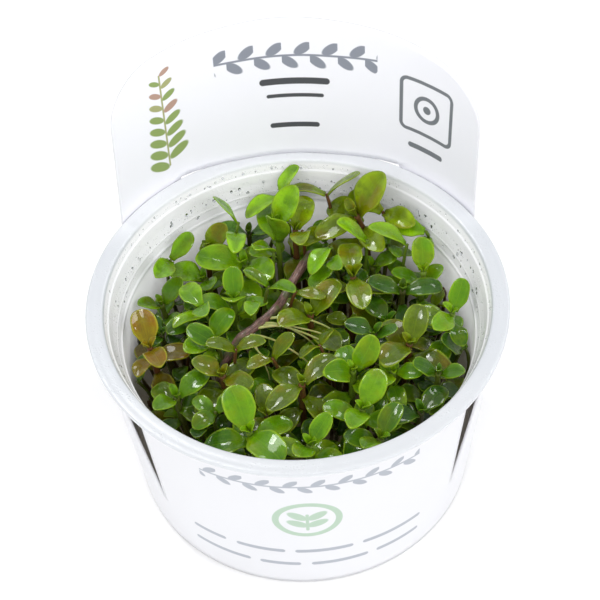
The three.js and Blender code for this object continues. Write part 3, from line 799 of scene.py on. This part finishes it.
# A repeatable stream of numbers from 0 to 1
STREAM_FACTOR = 1664525
STREAM_STEP = 1013904223
STREAM_SIZE = 2**32


class Stream:
    def __init__(self, seed):
        self.state = seed

    def draw(self):
        self.state = (self.state * STREAM_FACTOR + STREAM_STEP) % STREAM_SIZE
        return self.state / STREAM_SIZE

    def sway(self, size):
        return (self.draw() * 2 - 1) * size

    def near(self, middle, size):
        return middle + self.sway(size) if size else middle


stream = Stream(SEED)
looks = Stream(SEED + 1)


# Stems
TANGENT_STEP = 0.0001
LENGTH_STEPS = 200


class Curve:
    """A curve with points for shares from 0 to 1."""

    def tangent(self, t):
        return unit(self.point(min(1.0, t + TANGENT_STEP)) - self.point(max(0.0, t - TANGENT_STEP)))

    def length(self):
        points = np.array([self.point(i / LENGTH_STEPS) for i in range(LENGTH_STEPS + 1)])
        return float(np.linalg.norm(np.diff(points, axis=0), axis=1).sum())


class Bend(Curve):
    def __init__(self, start, middle, end):
        self.ends = (start, middle, end)

    def point(self, t):
        start, middle, end = self.ends
        k = 1 - t
        return k * k * start + 2 * k * t * middle + t * t * end


class Route(Curve):
    """A centripetal Catmull-Rom curve through points."""

    def __init__(self, points):
        self.points = [vector(*p) for p in points]

    def point(self, t):
        last = len(self.points) - 1
        place = last * t
        i = int(math.floor(place))
        weight = place - i
        if weight == 0 and i == last:
            i, weight = last - 1, 1.0
        p1, p2 = self.points[i], self.points[i + 1]
        p0 = self.points[i - 1] if i > 0 else 2 * p1 - p2
        p3 = self.points[i + 2] if i + 2 <= last else 2 * p2 - p1
        d0, d1, d2 = (math.sqrt(np.linalg.norm(b - a)) for a, b in ((p0, p1), (p1, p2), (p2, p3)))
        t1 = ((p1 - p0) / d0 - (p2 - p0) / (d0 + d1) + (p2 - p1) / d1) * d1
        t2 = ((p2 - p1) / d1 - (p3 - p1) / (d1 + d2) + (p3 - p2) / d2) * d1
        c2 = -3 * p1 + 3 * p2 - 2 * t1 - t2
        c3 = 2 * p1 - 2 * p2 + t1 + t2
        return p1 + t1 * weight + c2 * weight**2 + c3 * weight**3


def stem_curve(foot, top, direction):
    return Bend(foot, top - STEM_BEND * (top[2] - foot[2]) * direction, top)


def bud_point(curve):
    return curve.point(1.0) + 2 * STEM_RADIUS * curve.tangent(1.0)


# Points along every stem, which the leaves of other pieces keep off
KEPT_STEP = 1.5


class Kept:
    def __init__(self):
        self.rows = []
        self.array = None

    def add(self, curve, radius, owner):
        count = math.ceil(curve.length() / KEPT_STEP)
        for point in [curve.point(i / count) for i in range(count + 1)] + [bud_point(curve)]:
            self.rows.append((*point, radius * math.sqrt(2), owner))
        self.array = None

    def others(self, owner):
        """Points and radii of all stems but one's own."""
        if self.array is None:
            self.array = np.array(self.rows)
        rows = self.array[self.array[:, 4] != owner]
        return rows[:, :3], rows[:, 3]


kept = Kept()


# Leaves
PROFILE_ALONG = (0, 0.14, 0.42, 0.6, 0.8, 1)
PROFILE_WIDTH = (0.36, 0.55, 0.95, 1, 0.86, 0.12)
SAMPLES = np.array([
    (0.15, 0), (0.25, -1), (0.25, 1), (0.35, 0), (0.42, -1), (0.42, 1), (0.55, 0), (0.62, -1),
    (0.62, 1), (0.7, 0), (0.8, -1), (0.8, 1), (0.87, 0), (0.92, -0.8), (0.92, 0.8), (1, 0),
])


def blade_rise(length, width, bow, curl, cup, along, across, profile):
    """How far a leaf's blade bends up from a flat one."""
    bend = bow * along * (1 - along) - curl * along * along
    return length * bend + cup * width * across * across * profile


LEAF_VALUES = ("root", "direction", "side", "normal", "length", "width", "bow", "curl", "cup")


class Leaf:
    """A leaf runs from its root along its direction, with its flat side facing its normal."""

    def __init__(self, wanted, swing=0, raise_by=0, scale=1):
        self.owner = wanted["owner"]
        axis, right, ahead = wanted["frame"]
        azimuth = math.radians(wanted["azimuth"] + swing)
        rise = math.radians(wanted["rise"] + raise_by)
        radial = right * math.cos(azimuth) + ahead * math.sin(azimuth)
        self.direction = radial * math.cos(rise) + axis * math.sin(rise)
        flat_side = unit(np.cross(axis, radial))
        flat_normal = unit(np.cross(self.direction, flat_side))
        roll = math.radians(wanted["face"]) * (1 if flat_side[1] >= 0 else -1)
        self.side = flat_side * math.cos(roll) + flat_normal * math.sin(roll)
        self.normal = unit(np.cross(self.direction, self.side))
        self.root = wanted["root"]
        self.length = wanted["length"] * scale
        self.width = wanted["width"] * math.sqrt(scale)
        self.bow, self.curl, self.cup = wanted["bow"], wanted["curl"], wanted["cup"]
        along, across = SAMPLES.T
        self.samples = self.points(along, across, np.interp(along, PROFILE_ALONG, PROFILE_WIDTH))

    def points(self, along, across, profile, lift=0.0):
        """Points of the blade. The profile is its share of the leaf's width there."""
        rise = blade_rise(self.length, self.width, self.bow, self.curl, self.cup, along, across, profile)
        return (
            self.root
            + np.multiply.outer(self.length * along, self.direction)
            + np.multiply.outer((self.width / 2) * profile * across, self.side)
            + np.multiply.outer(rise + lift, self.normal)
        )

    def values(self):
        return [getattr(self, name) for name in LEAF_VALUES]


def touching(values, points, radius, spacing):
    """Whether balls come nearer than the spacing to leaves. Arrays of many leaves and balls broadcast."""
    root, direction, side, normal, length, width, bow, curl, cup = values
    offset = points - root
    distance = (offset * direction).sum(-1)
    along = np.clip(distance / length, 0, 1)
    profile = np.interp(along, PROFILE_ALONG, PROFILE_WIDTH)
    half = (width / 2) * profile
    sideways = (offset * side).sum(-1)
    rise = blade_rise(length, width, bow, curl, cup, along, np.clip(sideways / half, -1, 1), profile)
    near = (distance >= -radius) & (distance <= length + radius) & (np.abs(sideways) <= half + radius)
    return near & (np.abs((offset * normal).sum(-1) - rise) < radius + spacing)


class Placed:
    """All the leaves that have found their place, kept as arrays."""

    def __init__(self):
        self.leaves = []
        self.arrays = None

    def add(self, leaf):
        self.leaves.append(leaf)
        self.arrays = None

    def get(self, name):
        if self.arrays is None:
            names = (*LEAF_VALUES, "samples")
            self.arrays = {key: np.array([getattr(leaf, key) for leaf in self.leaves]) for key in names}
        return self.arrays[name]

    def values(self, chosen=slice(None)):
        return [self.get(name)[chosen][:, None] for name in LEAF_VALUES]

    def meets(self, leaf, thickness, spacing):
        if not self.leaves:
            return False
        reach = np.linalg.norm(self.get("root") - leaf.root, axis=1)
        near = reach <= self.get("length") + leaf.length + 2 * thickness
        if not near.any():
            return False
        if touching(self.values(near), leaf.samples[None], thickness, spacing).any():
            return True
        samples = self.get("samples")[near].reshape(-1, 3)
        return touching(leaf.values(), samples, thickness, spacing).any()

    def meets_stem(self, points, radius, spacing):
        return touching(self.values(), points[None], radius, spacing).any()


placed = Placed()


def is_free(leaf, thickness=LEAF_THICKNESS, spacing=SPACING):
    x, y, heights = leaf.samples.T
    if (heights < GEL_TOP + GEL_SPACING).any():
        return False
    if any(radius > inner_radius(height) - WALL_SPACING for radius, height in zip(np.hypot(x, y), heights)):
        return False
    if touching(leaf.values(), *kept.others(leaf.owner), spacing).any():
        return False
    return not placed.meets(leaf, thickness, spacing)


# How each kind of leaf is drawn: the middle and the reach of its length, turn, rise, share of width, bow,
# curl and cup; then its greatest width, and how far its root is from the stem's middle.
LEADING = (
    ((1, 0.1), (0, 9), (0, 8), (0.66, 0.06), (0.25, 0.12), (0.1, 0.08), (0.12, 0.07)), math.inf, STEM_RADIUS)
LOW = (((1, 0.12), (0, 10), (0, 14), (0.64, 0.08), (0.25, 0.14), (0.14, 0.12), (0.12, 0.09)), 5.8, 0.4)
BUD = (((0.34, 0.08), (0, 12), (0, 10), (0.6, 0), (0.35, 0), (0.05, 0), (0.3, 0)), math.inf, 0.35)


def frame_at(curve, share):
    axis = curve.tangent(share)
    right = unit(vector(1, 0, 0) - axis * axis[0])
    return axis, right, np.cross(axis, right)


def wanted_leaf(source, kind, owner, curve, share, turn, length, rise, face=0, extra_curl=0):
    """A leaf's wanted values, where it grows from a stem at a share of it, towards a turn in degrees."""
    ranges, widest, reach = kind
    lengthen, swing, lift, slim, bow, curl, cup = [source.near(*middle) for middle in ranges]
    axis, right, ahead = frame_at(curve, share)
    facing = math.radians(turn)
    return {
        "owner": owner,
        "frame": (axis, right, ahead),
        "root": curve.point(share) + (right * math.cos(facing) + ahead * math.sin(facing)) * reach,
        "azimuth": turn + swing,
        "rise": max(LOWEST_RISE, rise + lift),
        "face": face,
        "length": length * lengthen,
        "width": min(widest, length * lengthen * slim),
        "bow": bow,
        "curl": curl + extra_curl,
        "cup": cup,
    }


# Tries the wanted leaf first, then ones turned, raised or lowered, and shortened by more each time.
TRIES = 22
SWING_STEP = 7
RAISE_STEP = 3
MOST_RAISE = 9
SHRINK_STEP = 0.022


def place_leaf(wanted):
    for attempt in range(TRIES):
        swing = math.ceil(attempt / 2) * SWING_STEP * (1 if attempt % 2 else -1)
        raise_by = (attempt % 3 - 1) * min(MOST_RAISE, attempt * RAISE_STEP)
        leaf = Leaf(wanted, swing, raise_by, 1 - SHRINK_STEP * attempt)
        if is_free(leaf):
            placed.add(leaf)
            return leaf
    return None


# Shoots
# The place of the top pair of leaves; which way it points, in degrees from +X; how steeply its leaves rise;
# their length; how far the tip leans to +X and +Y; how far the leaves twist to the front; pairs of leaves
SHOOTS = [
    ((-4, 31, 51), 5, 70, 11.5, (0, 0.7), 62, 3),
    ((16, 30.5, 53), 22, 26, 11.5, (-0.5, 0.1), 25, 3),
    ((0.5, 29, 50.5), 80, 40, 9.5, (0, 0.1), 10, 3),
    ((-12.5, 22, 46.5), 165, 8, 12, (-0.2, 0), 10, 3),
    ((-22.5, 29, 45), 20, 62, 8.5, (0, 0.3), 50, 3),
    ((-23, 21, 43), 150, 35, 9, (-0.2, 0.1), 10, 3),
    ((-34, 14, 42), 35, 40, 8, (-0.1, 0.1), 15, 2),
    ((-26, 8, 43), 10, 12, 9.5, (0.1, 0), 10, 2),
    ((-15.5, 10, 47), 85, 50, 9, (0, 0.2), 0, 3),
    ((-21.5, -2, 47), 50, 35, 8.5, (0, 0), 10, 3),
    ((-36, -3.5, 47), 110, 35, 9, (0, 0), 0, 3),
    ((-18.5, -14, 48), 140, 25, 9, (0, 0), 0, 3),
    ((-29.5, -18.5, 46.5), 40, 20, 8.5, (0, 0), 5, 3),
    ((-12.5, -32, 50), 115, 20, 11, (0, -0.1), 0, 3),
    ((0, -19, 49.5), 35, 15, 9.5, (0, 0), 0, 3),
    ((3, 3, 48), 40, 25, 10, (0, 0), 0, 3),
    ((14, 12, 51), 92, 12, 10, (0, 0), 0, 3),
    ((26, 9.5, 47.5), 175, 10, 9, (0, 0), 5, 3),
    ((31.5, 14, 49), 88, 45, 9, (0, 0.1), 0, 3),
    ((37, -0.5, 50), 60, 30, 9, (0, 0), 20, 3),
    ((26, -8, 48.5), 48, 25, 11, (0, 0), 0, 3),
    ((18, -4, 48), 130, 25, 9, (0, 0), 0, 3),
    ((12, -16.5, 50.5), 35, 45, 9, (0, 0), 40, 3),
    ((21.5, -16, 48.5), 10, 28, 8, (0, 0), 15, 3),
    ((32, -17.5, 49), 165, 25, 7.5, (0, 0), 10, 3),
    ((13.5, -27, 49.5), 65, 35, 9, (0, 0), 10, 3),
    ((1, -36.5, 50), 50, 35, 8.5, (0, 0.1), 10, 3),
    ((17, -35.5, 49.5), 55, 38, 9, (0, 0.1), 0, 3),
    ((27, -27, 47), 30, 15, 9, (0, 0), 0, 3),
]
FIELDS = ("at", "turn", "rise", "leaf", "lean", "face", "pairs")

# Shoots between those, on a sunflower spiral
FILL_COUNT = 64
FILL_REACH = 38
FILL_CLEARANCE = 7.1
FILL_HEIGHT = 41
FILL_SWAY = 3.5
FILL_SHOOT = {"rise": 24, "leaf": 8.6, "lean": (0, 0), "face": 0, "pairs": 2}
GOLDEN_ANGLE = 137.508
MOST_SHOOTS = 52


def fill_shoots():
    everything = [dict(zip(FIELDS, shoot)) for shoot in SHOOTS]
    for i in range(FILL_COUNT):
        reach = FILL_REACH * math.sqrt((i + 0.5) / FILL_COUNT)
        angle = math.radians(i * GOLDEN_ANGLE)
        x = reach * math.cos(angle)
        y = reach * math.sin(angle)
        height = FILL_HEIGHT + stream.sway(FILL_SWAY)
        turn = stream.draw() * 180
        near = any(math.hypot(s["at"][0] - x, s["at"][1] - y) < FILL_CLEARANCE for s in everything)
        if not near and len(everything) < MOST_SHOOTS:
            everything.append({**FILL_SHOOT, "at": (x, y, height), "turn": turn})
    return everything


def plan_shoot(shoot, owner):
    top = vector(*shoot["at"])
    lean = vector(*shoot["lean"], 0)
    foot = FOOT_SPREAD * top - FOOT_KICK * lean
    foot[2] = GEL_TOP + GAP
    curve = stem_curve(foot, top, unit(lean + vector(0, 0, 1)))
    kept.add(curve, STEM_RADIUS, owner)
    spread = curve.length()
    shares = [1 - (NODE_HALF_HEIGHT + pair * INTERNODE) / spread for pair in range(shoot["pairs"])]
    return {**shoot, "owner": owner, "curve": curve, "shares": shares, "leaves": []}


def place_leaves(shoot):
    """Places the leaves pair by pair, each pair across the one above it."""
    for pair, share in enumerate(shoot["shares"]):
        start = shoot["turn"] + (90 if pair % 2 else 0)
        rise = shoot["rise"] - RISE_DROP * pair
        face = shoot["face"] * (LOWER_FACE if pair else 1)
        where = (shoot["owner"], shoot["curve"], share)
        for turn in (start, start + 180):
            shape = (turn, shoot["leaf"], rise, face, CURL_STEP * pair)
            leaf = place_leaf(wanted_leaf(stream, LEADING, *where, *shape))
            if leaf:
                shoot["leaves"].append((pair, leaf))


# The old stem creeps across the top of the shoots and goes down into the gel at both ends.
CREEPER_RADIUS = 1.2
CREEPER_FOOT = GEL_TOP + 2 * GAP
creeper = Route([
    (6, 34, CREEPER_FOOT),
    (5, 31, 30),
    (4.5, 27, 43),
    (3, 21, 48),
    (-1, 13, 49),
    (-5, 5.5, 48.5),
    (-10, 1, 47.5),
    (-15, -2.5, 46),
    (-19, -6, 40),
    (-21, -8, 27),
    (-21.5, -8.5, CREEPER_FOOT),
])

kept.add(creeper, CREEPER_RADIUS, 0)
shoots = [plan_shoot(shoot, i + 1) for i, shoot in enumerate(fill_shoots())]
for planned in shoots:
    place_leaves(planned)


# Growth: meshes of stems and leaves with their own growth attribute and leaf coordinates
LEAF_ROWS = 14
TOP_POINTS = 9
MARGIN_CROWDING = 1.8
MARGIN_WAVE = 0.05
SLIMMING = 0.12
GROOVE_WIDTH = 0.10
GROOVE_DEPTH = 0.16
RIB_HEIGHT = 0.02
SKEW = 0.03
STEM_SIDES = 12
STEM_TAPER = (1.08, 0.78)
CORNER_HEIGHT = 0.10
NODE_SWELLING = 0.22
NODE_SHARPNESS = 34
MOST_PHASE = 6.28

# A leaf's tint runs from 0, the shaded one, to its brightest. It drops by pair, as painted shade on the lower
# pairs, and rises towards the back, as painted light.
MOST_TINT = 1.5
TOP_TINT = 0.52
PAIR_SHADE_DROP = 0.16
BACK_LIGHT = 0.024
LOW_TINTS = (0.26, 0.76)
LOW_BACK_LIGHT = 0.022


class Growth:
    """Points and faces of stems and leaves, gathered for one mesh."""

    def __init__(self):
        self.points = []
        self.growth = []
        self.uv = []
        self.faces = []
        self.count = 0

    def add(self, points, growth, uv):
        """Adds an array of points and returns the number of the first."""
        first = self.count
        points = np.asarray(points, float).reshape(-1, 3)
        self.points.append(points)
        self.growth.append(np.broadcast_to(np.asarray(growth, float), (len(points), 4)))
        self.uv.append(np.broadcast_to(np.asarray(uv, float), (len(points), 2)))
        self.count += len(points)
        return first

    def add_tube(self, curve, radius_at, steps, sides, turn=0.0, tint=0.5, streaked=False):
        """A tube along a curve. A streaked one has coordinates along it and round it for its material."""
        rows = []
        growth = []
        uv = []
        length = curve.length()
        for i in range(steps + 1):
            share = i / steps
            _, right, ahead = frame_at(curve, share)
            for j in range(sides):
                angle = 2 * math.pi * j / sides
                towards = right * math.cos(angle + turn) + ahead * math.sin(angle + turn)
                rows.append(curve.point(share) + radius_at(share, angle) * towards)
                growth.append((tint, 0, 1, 1 - share))
                streak = (0.5 * length * share, 12 * abs(1 - angle / math.pi))
                uv.append(streak if streaked else (0.5, 0.5))
        first = self.add(rows, growth, uv)
        self.faces += band_faces(first, steps + 1, sides)
        self.faces.append(tuple(range(first + sides - 1, first - 1, -1)))
        self.faces.append(tuple(range(self.count - sides, self.count)))

    def make(self, name, material):
        made = make_object(name, np.concatenate(self.points), self.faces, material)
        colours = made.data.attributes.new("growth", "FLOAT_COLOR", "POINT")
        colours.data.foreach_set("color", np.concatenate(self.growth).ravel())
        layer = made.data.uv_layers.new(name="leaf")
        index = np.zeros(len(made.data.loops), np.int32)
        made.data.loops.foreach_get("vertex_index", index)
        layer.data.foreach_set("uv", np.concatenate(self.uv)[index].ravel())
        return made


def leaf_outline(along):
    """The half width of a leaf along its length, with a broad base and a round tip."""
    base = np.clip(along / 0.43, 0, 1)
    base = 0.38 + 0.62 * base * base * (3 - 2 * base)
    past = np.clip((along - 0.5) / 0.5, 0, 1)
    return base * np.sqrt(np.clip(1 - past**2.5, 0, None))


def add_leaf(growth, leaf, tint, age=0.0, thickness=0.62):
    """A blade with a top and an underside that meet at the margin."""
    size = 2 * TOP_POINTS - 2
    share = np.arange(LEAF_ROWS) / LEAF_ROWS
    across = np.concatenate([np.linspace(-1, 1, TOP_POINTS), np.linspace(1, -1, TOP_POINTS)[1:-1]])
    # Points crowd towards the margin, where the blade is round.
    u, v = np.meshgrid(1 - (1 - share) ** MARGIN_CROWDING, np.sin(across * math.pi / 2), indexing="ij")
    side = np.array([0, *[1.0] * (TOP_POINTS - 2), 0, *[-1.0] * (TOP_POINTS - 2)])
    wave, phase = MARGIN_WAVE * (1 + looks.draw()), looks.draw() * MOST_PHASE
    profile = leaf_outline(u) * (1 - SLIMMING * looks.draw())
    fleshy = np.sqrt(np.clip(1 - v**4, 0, 1)) * np.clip(2.2 * (1 - u), 0.25, 1) ** 0.5
    groove = np.exp(-((v / GROOVE_WIDTH) ** 2)) * np.clip(1 - u * u, 0, 1)
    ribs = np.cos(v * VEINS * 2 * math.pi) * (1 - v * v) * 0.5
    lift = side * fleshy * thickness / 2 - groove * GROOVE_DEPTH - ribs * RIB_HEIGHT * leaf.width / 6
    lift += wave * leaf.width * 0.5 * v * v * np.sin(7 * u + phase + v)
    skew = SKEW * leaf.length * np.sin(3 * u + phase)
    points = leaf.points(u, v, profile, lift) + np.multiply.outer(skew * u, leaf.side)
    marks = np.stack([np.full(u.shape, tint), u * 0 + (side < 0), u * 0, np.full(u.shape, age)], -1)
    first = growth.add(points, marks.reshape(-1, 4), np.stack([u, v], -1).reshape(-1, 2))
    tip = leaf.points(1.0, 0.0, 0.0) + SKEW * leaf.length * math.sin(3 + phase) * leaf.side
    last = growth.add(tip, (tint, 0, 0, age), (1, 0))
    growth.faces += band_faces(first, LEAF_ROWS, size, flip=True)
    growth.faces.append(tuple(range(first, first + size)))
    growth.faces += fan_faces(last - size, size, last, flip=True)


def add_stem(growth, curve, turn, radius, node_shares, tint, steps=26):
    """A square stem with soft corners, swollen at its nodes."""

    def radius_at(share, angle):
        swell = NODE_SWELLING * sum(math.exp(-(((share - s) * NODE_SHARPNESS) ** 2)) for s in node_shares)
        return radius * (mix(*STEM_TAPER, share) + swell) * (1 - CORNER_HEIGHT * math.cos(4 * angle))

    growth.add_tube(curve, radius_at, steps, STEM_SIDES, math.radians(turn), tint)


def swayed_tint(tint, reach):
    return min(MOST_TINT, max(0.0, tint + looks.sway(reach)))


def make_shoot(shoot, materials):
    slot = SLOTS[shoot["name"]]
    growth = Growth()
    tint = looks.draw()
    add_stem(growth, shoot["curve"], shoot["turn"], STEM_RADIUS, shoot["shares"], tint)
    for pair, leaf in shoot["leaves"]:
        # Painted shade on the lower pairs, and painted light on leaves towards the back
        lit = TOP_TINT - PAIR_SHADE_DROP * pair + BACK_LIGHT * max(0.0, leaf.root[1])
        add_leaf(growth, leaf, swayed_tint(lit, 0.3), age=0.2 * pair)
    # The young pair stands in the middle of the top pair, set crosswise.
    where = (shoot["owner"], shoot["curve"], 1.0)
    turns = (shoot["turn"] + 90, shoot["turn"] + 270)
    buds = [Leaf(wanted_leaf(looks, BUD, *where, turn, shoot["leaf"], 62)) for turn in turns]
    for bud in buds:
        add_leaf(growth, bud, 0.9 + looks.sway(0.1), thickness=0.4)
    made = growth.make(shoot["name"].replace("shoot", "leafy_shoot"), materials[slot])
    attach(made, "root")
    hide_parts(shoot["name"])


# Low side shoots fill the space between the tall ones: a thin stem and a pair of leaves or two.
LOW_TRIES = 2600
LOW_REACH = 42.5
LOW_HEIGHTS = (20, 49.5)
LOW_LEAF = (5.2, 8.8)
LOW_STEM_RADIUS = 0.5
LOW_THICKNESS = 0.55
LOW_SPACING = 0.25
FIRST_LOW_OWNER = 1000
LOW_FOOT_SPREAD = 0.88
LOW_STEM_SPACING = 0.1
BARE_SHARES = (0.35, 0.97)
BARE_SAMPLES = 14
TOP_SHARE = 0.99
HEIGHT_POWER = 0.6
LOW_LEAN = 0.5
LOW_INTERNODE = 5
LOW_RISES = (26, 8)
LOWER_LENGTHENING = 1.1
CROWDED_HEIGHT = 40
# The first low shoots fill the back and lie over the old stem: place, turn, leaf length and tone
COVERS = [
    ((9, 37, 52), 170, 11, "olive"),
    ((-4, 38, 51.5), 0, 10, "bright"),
    ((23, 32, 52), 145, 10, "olive"),
    ((32, 24, 51), 125, 9, "bright"),
    ((-12, 34.5, 49.5), 10, 10, "bright"),
    ((29, 24, 49.5), 100, 10, "bright"),
    ((-30, 24, 47.5), 50, 9, "green"),
    ((35, 19, 48.5), 70, 9, "bright"),
    ((-3, 35.5, 49), 0, 10, "olive"),
    ((4, 29, 51), 40, 10, "olive"),
    ((17, 24, 50.5), 130, 9, "bright"),
    ((-18, 30, 48), 120, 9, "green"),
    ((-6, 25, 49), 60, 9, "bright"),
    ((8, 20, 51), 90, 9, "green"),
    ((-15, -8, 49.8), 20, 7.6, "olive"),
    ((-22, -6.5, 48), 70, 7.4, "green"),
    ((-11, 6.5, 51.5), 160, 6.5, "bright"),
    ((5.5, 15.5, 52), 140, 7, "green"),
    ((-7.5, 9.5, 51.5), 0, 7.4, "green"),
    ((0.5, 6.5, 51.2), 165, 7.4, "olive"),
    ((7, 24, 50), 175, 7, "olive"),
]
COVER_TRIES = 90
COVER_SHIFT = 4
COVER_RAISE = 3.5
COVER_SWING = 1.5
LOW_TONES = ("green", "deep", "bright", "green", "olive", "green")


def low_leaves(curve, share, turn, length, rise, owner):
    """A pair of leaves that keeps clear of all that is placed, or as many of the two as can."""
    found = []
    for half in (0, 180):
        leaf = Leaf(wanted_leaf(looks, LOW, owner, curve, share, turn + half, length, rise))
        if is_free(leaf, LOW_THICKNESS, LOW_SPACING):
            found.append(leaf)
    return found


def low_shoot(top, turn, length, least, owner):
    """A small shoot's stem, the share at which its lower pair sits, and its leaves, if the least number of
    leaves has room at its top."""
    foot = vector(LOW_FOOT_SPREAD * top[0], LOW_FOOT_SPREAD * top[1], GEL_TOP + 0.2)
    curve = stem_curve(foot, top, unit(vector(looks.sway(LOW_LEAN), looks.sway(LOW_LEAN), 1)))
    stem_points = np.array([curve.point(share) for share in np.linspace(*BARE_SHARES, BARE_SAMPLES)])
    if placed.meets_stem(stem_points, LOW_STEM_RADIUS, LOW_STEM_SPACING):
        return None
    leaves = low_leaves(curve, TOP_SHARE, turn, length, LOW_RISES[0], owner)
    if len(leaves) < least:
        return None
    lower = 1 - LOW_INTERNODE / curve.length()
    leaves += low_leaves(curve, lower, turn + 90, length * LOWER_LENGTHENING, LOW_RISES[1], owner)
    return curve, lower, leaves


def cover_shoot(top, turn, length, owner):
    """A low shoot at a set place, turned, moved and raised more and more until it has room."""
    for attempt in range(COVER_TRIES):
        share = attempt / COVER_TRIES
        shift = vector(looks.sway(COVER_SHIFT), looks.sway(COVER_SHIFT), COVER_RAISE * looks.draw())
        least = 2 if attempt < COVER_TRIES / 2 else 1
        turned = turn + looks.sway(COVER_SWING * attempt)
        found = low_shoot(vector(*top) + share * shift, turned, length, least, owner)
        if found:
            return found
    return None


def scattered_shoot(owner):
    """A low shoot at a random place."""
    reach = LOW_REACH * math.sqrt(looks.draw())
    angle = looks.draw() * 2 * math.pi
    height = mix(*LOW_HEIGHTS, looks.draw() ** HEIGHT_POWER)
    top = vector(reach * math.cos(angle), reach * math.sin(angle), height)
    turn = looks.draw() * 180
    least = 2 if top[2] > CROWDED_HEIGHT else 1
    return low_shoot(top, turn, mix(*LOW_LEAF, looks.draw()), least, owner)


def make_low_shoots(materials):
    """Joined meshes of the small low shoots, one for each tone."""
    gathered = {tone: Growth() for tone in LOW_TONES}
    for i in range(LOW_TRIES):
        owner = FIRST_LOW_OWNER + i
        tone = LOW_TONES[i % len(LOW_TONES)]
        if i < len(COVERS):
            *where, tone = COVERS[i]
            found = cover_shoot(*where, owner)
        else:
            found = scattered_shoot(owner)
        if found is None:
            continue
        curve, lower, leaves = found
        kept.add(curve, LOW_STEM_RADIUS, owner)
        # Painted light on low leaves towards the back
        tint = mix(*LOW_TINTS, looks.draw()) + LOW_BACK_LIGHT * max(0.0, leaves[0].root[1])
        growth = gathered[tone]
        add_stem(growth, curve, looks.draw() * 90, LOW_STEM_RADIUS, [lower], tint, steps=12)
        for leaf in leaves:
            placed.add(leaf)
            add_leaf(growth, leaf, swayed_tint(tint, 0.25), age=0.3, thickness=0.5)
    for tone, growth in gathered.items():
        slot = "leaf_" + tone
        piece = growth.make("low_shoots_" + tone, materials[slot])
        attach(piece, "root")


# Creeping stem and thin roots
CREEPER_NODES = [0.08 + 0.085 * i for i in range(11)]
CREEPER_SWELLING = 0.119
CREEPER_SHARPNESS = 60
CREEPER_STEPS = 150
CREEPER_SIDES = 16


def make_creeper(material):
    def radius_at(share, angle):
        swell = sum(math.exp(-(((share - s) * CREEPER_SHARPNESS) ** 2)) for s in CREEPER_NODES)
        ridge = 0.05 * math.sin(5 * angle + 9 * share) + 0.03 * math.sin(11 * angle - 23 * share)
        return (CREEPER_RADIUS - 0.12) * (1 + CREEPER_SWELLING * swell + ridge)

    growth = Growth()
    growth.add_tube(creeper, radius_at, CREEPER_STEPS, CREEPER_SIDES, streaked=True)
    made = growth.make("old_creeping_stem", material)
    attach(made, "root")
    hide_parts("creeping_stem")


# Each root leaves the old stem and droops over the shoots: start share, end point and radius.
ROOTS = [
    (0.62, (6.5, -3.5, 44), 0.36),
    (0.60, (8, -1, 43), 0.3),
    (0.56, (9, 0.5, 43.5), 0.34),
    (0.655, (2.5, -8, 42), 0.3),
    (0.67, (-3.5, -9.5, 41.5), 0.26),
    (0.585, (3.5, -2, 42.5), 0.28),
    (0.64, (-8, -8.5, 41), 0.24),
]
ROOT_TIP = vector(0.5, -0.8, -6)
ROOT_SWAY = 1.5
ROOT_RAISE = 2.5
ROOT_STEPS = 30
ROOT_SIDES = 8
ROOT_TAPER = (1.15, 0.45)


def make_roots(material):
    growth = Growth()
    for share, end, radius in ROOTS:
        start = creeper.point(share)
        end = vector(*end)
        middle = (start + end) / 2 + vector(looks.sway(ROOT_SWAY), looks.sway(ROOT_SWAY), ROOT_RAISE)
        arch = mix(start, middle, 0.6) + vector(0, 0, 0.6)
        curve = Route([start, arch, middle, end, end + ROOT_TIP])
        growth.add_tube(
            curve, lambda share, _: radius * mix(*ROOT_TAPER, share), ROOT_STEPS, ROOT_SIDES, streaked=True)
    made = growth.make("thin_roots", material)
    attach(made, "root")


# Water drops on the inside of the wall
DROPS = 2600
DROP_RINGS = 3
DROP_SIDES = 10
DROP_HEIGHTS = (49.2, 57.2)
DROP_RADII = (0.07, 0.43)
DROP_BULGE = 0.36


def make_drops(material):
    points = []
    faces = []
    slope = (MOUTH_RADIUS - STEP_RADIUS) / (RIM_HEIGHT - STEP_HEIGHT)
    dome = [
        (i / DROP_RINGS * math.pi / 2, j / DROP_SIDES * 2 * math.pi)
        for i in range(DROP_RINGS)
        for j in range(DROP_SIDES)
    ]
    for _ in range(DROPS):
        turn = looks.draw() * 2 * math.pi
        height = mix(*DROP_HEIGHTS, looks.draw())
        size = mix(*DROP_RADII, looks.draw() ** 6)
        # Most drops are at the back.
        if looks.draw() > 0.25 + 0.75 * (0.5 + 0.5 * math.sin(turn)):
            continue
        outward = vector(math.cos(turn), math.sin(turn), 0)
        inward = unit(vector(0, 0, slope) - outward)
        along = vector(-outward[1], outward[0], 0)
        down = np.cross(inward, along)
        centre = outward * (inner_radius(height) - 0.02) + vector(0, 0, height)
        stretch = 1 + 0.5 * looks.draw()
        first = len(points)
        for bend, angle in dome:
            flat = along * math.cos(angle) + down * stretch * math.sin(angle)
            points.append(centre + size * (flat * math.cos(bend) + inward * DROP_BULGE * math.sin(bend)))
        top = len(points)
        points.append(centre + size * DROP_BULGE * inward)
        faces += band_faces(first, DROP_RINGS, DROP_SIDES) + fan_faces(top - DROP_SIDES, DROP_SIDES, top)
        faces.append(tuple(range(first + DROP_SIDES - 1, first - 1, -1)))
    drops = make_object("water_drops", points, faces, material)
    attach(drops, "root")


make_camera()
make_studio()
leaf_materials = {slot: leaf_material(slot) for slot in LEAF_COLOURS}
make_cup(plastic_material())
make_card()
make_gel(gel_material())
for number, planned in enumerate(shoots):
    planned["name"] = f"shoot_{number + 1:02d}"
    make_shoot(planned, leaf_materials)
make_low_shoots(leaf_materials)
make_creeper(stem_material())
make_roots(root_material())
make_drops(water_material())
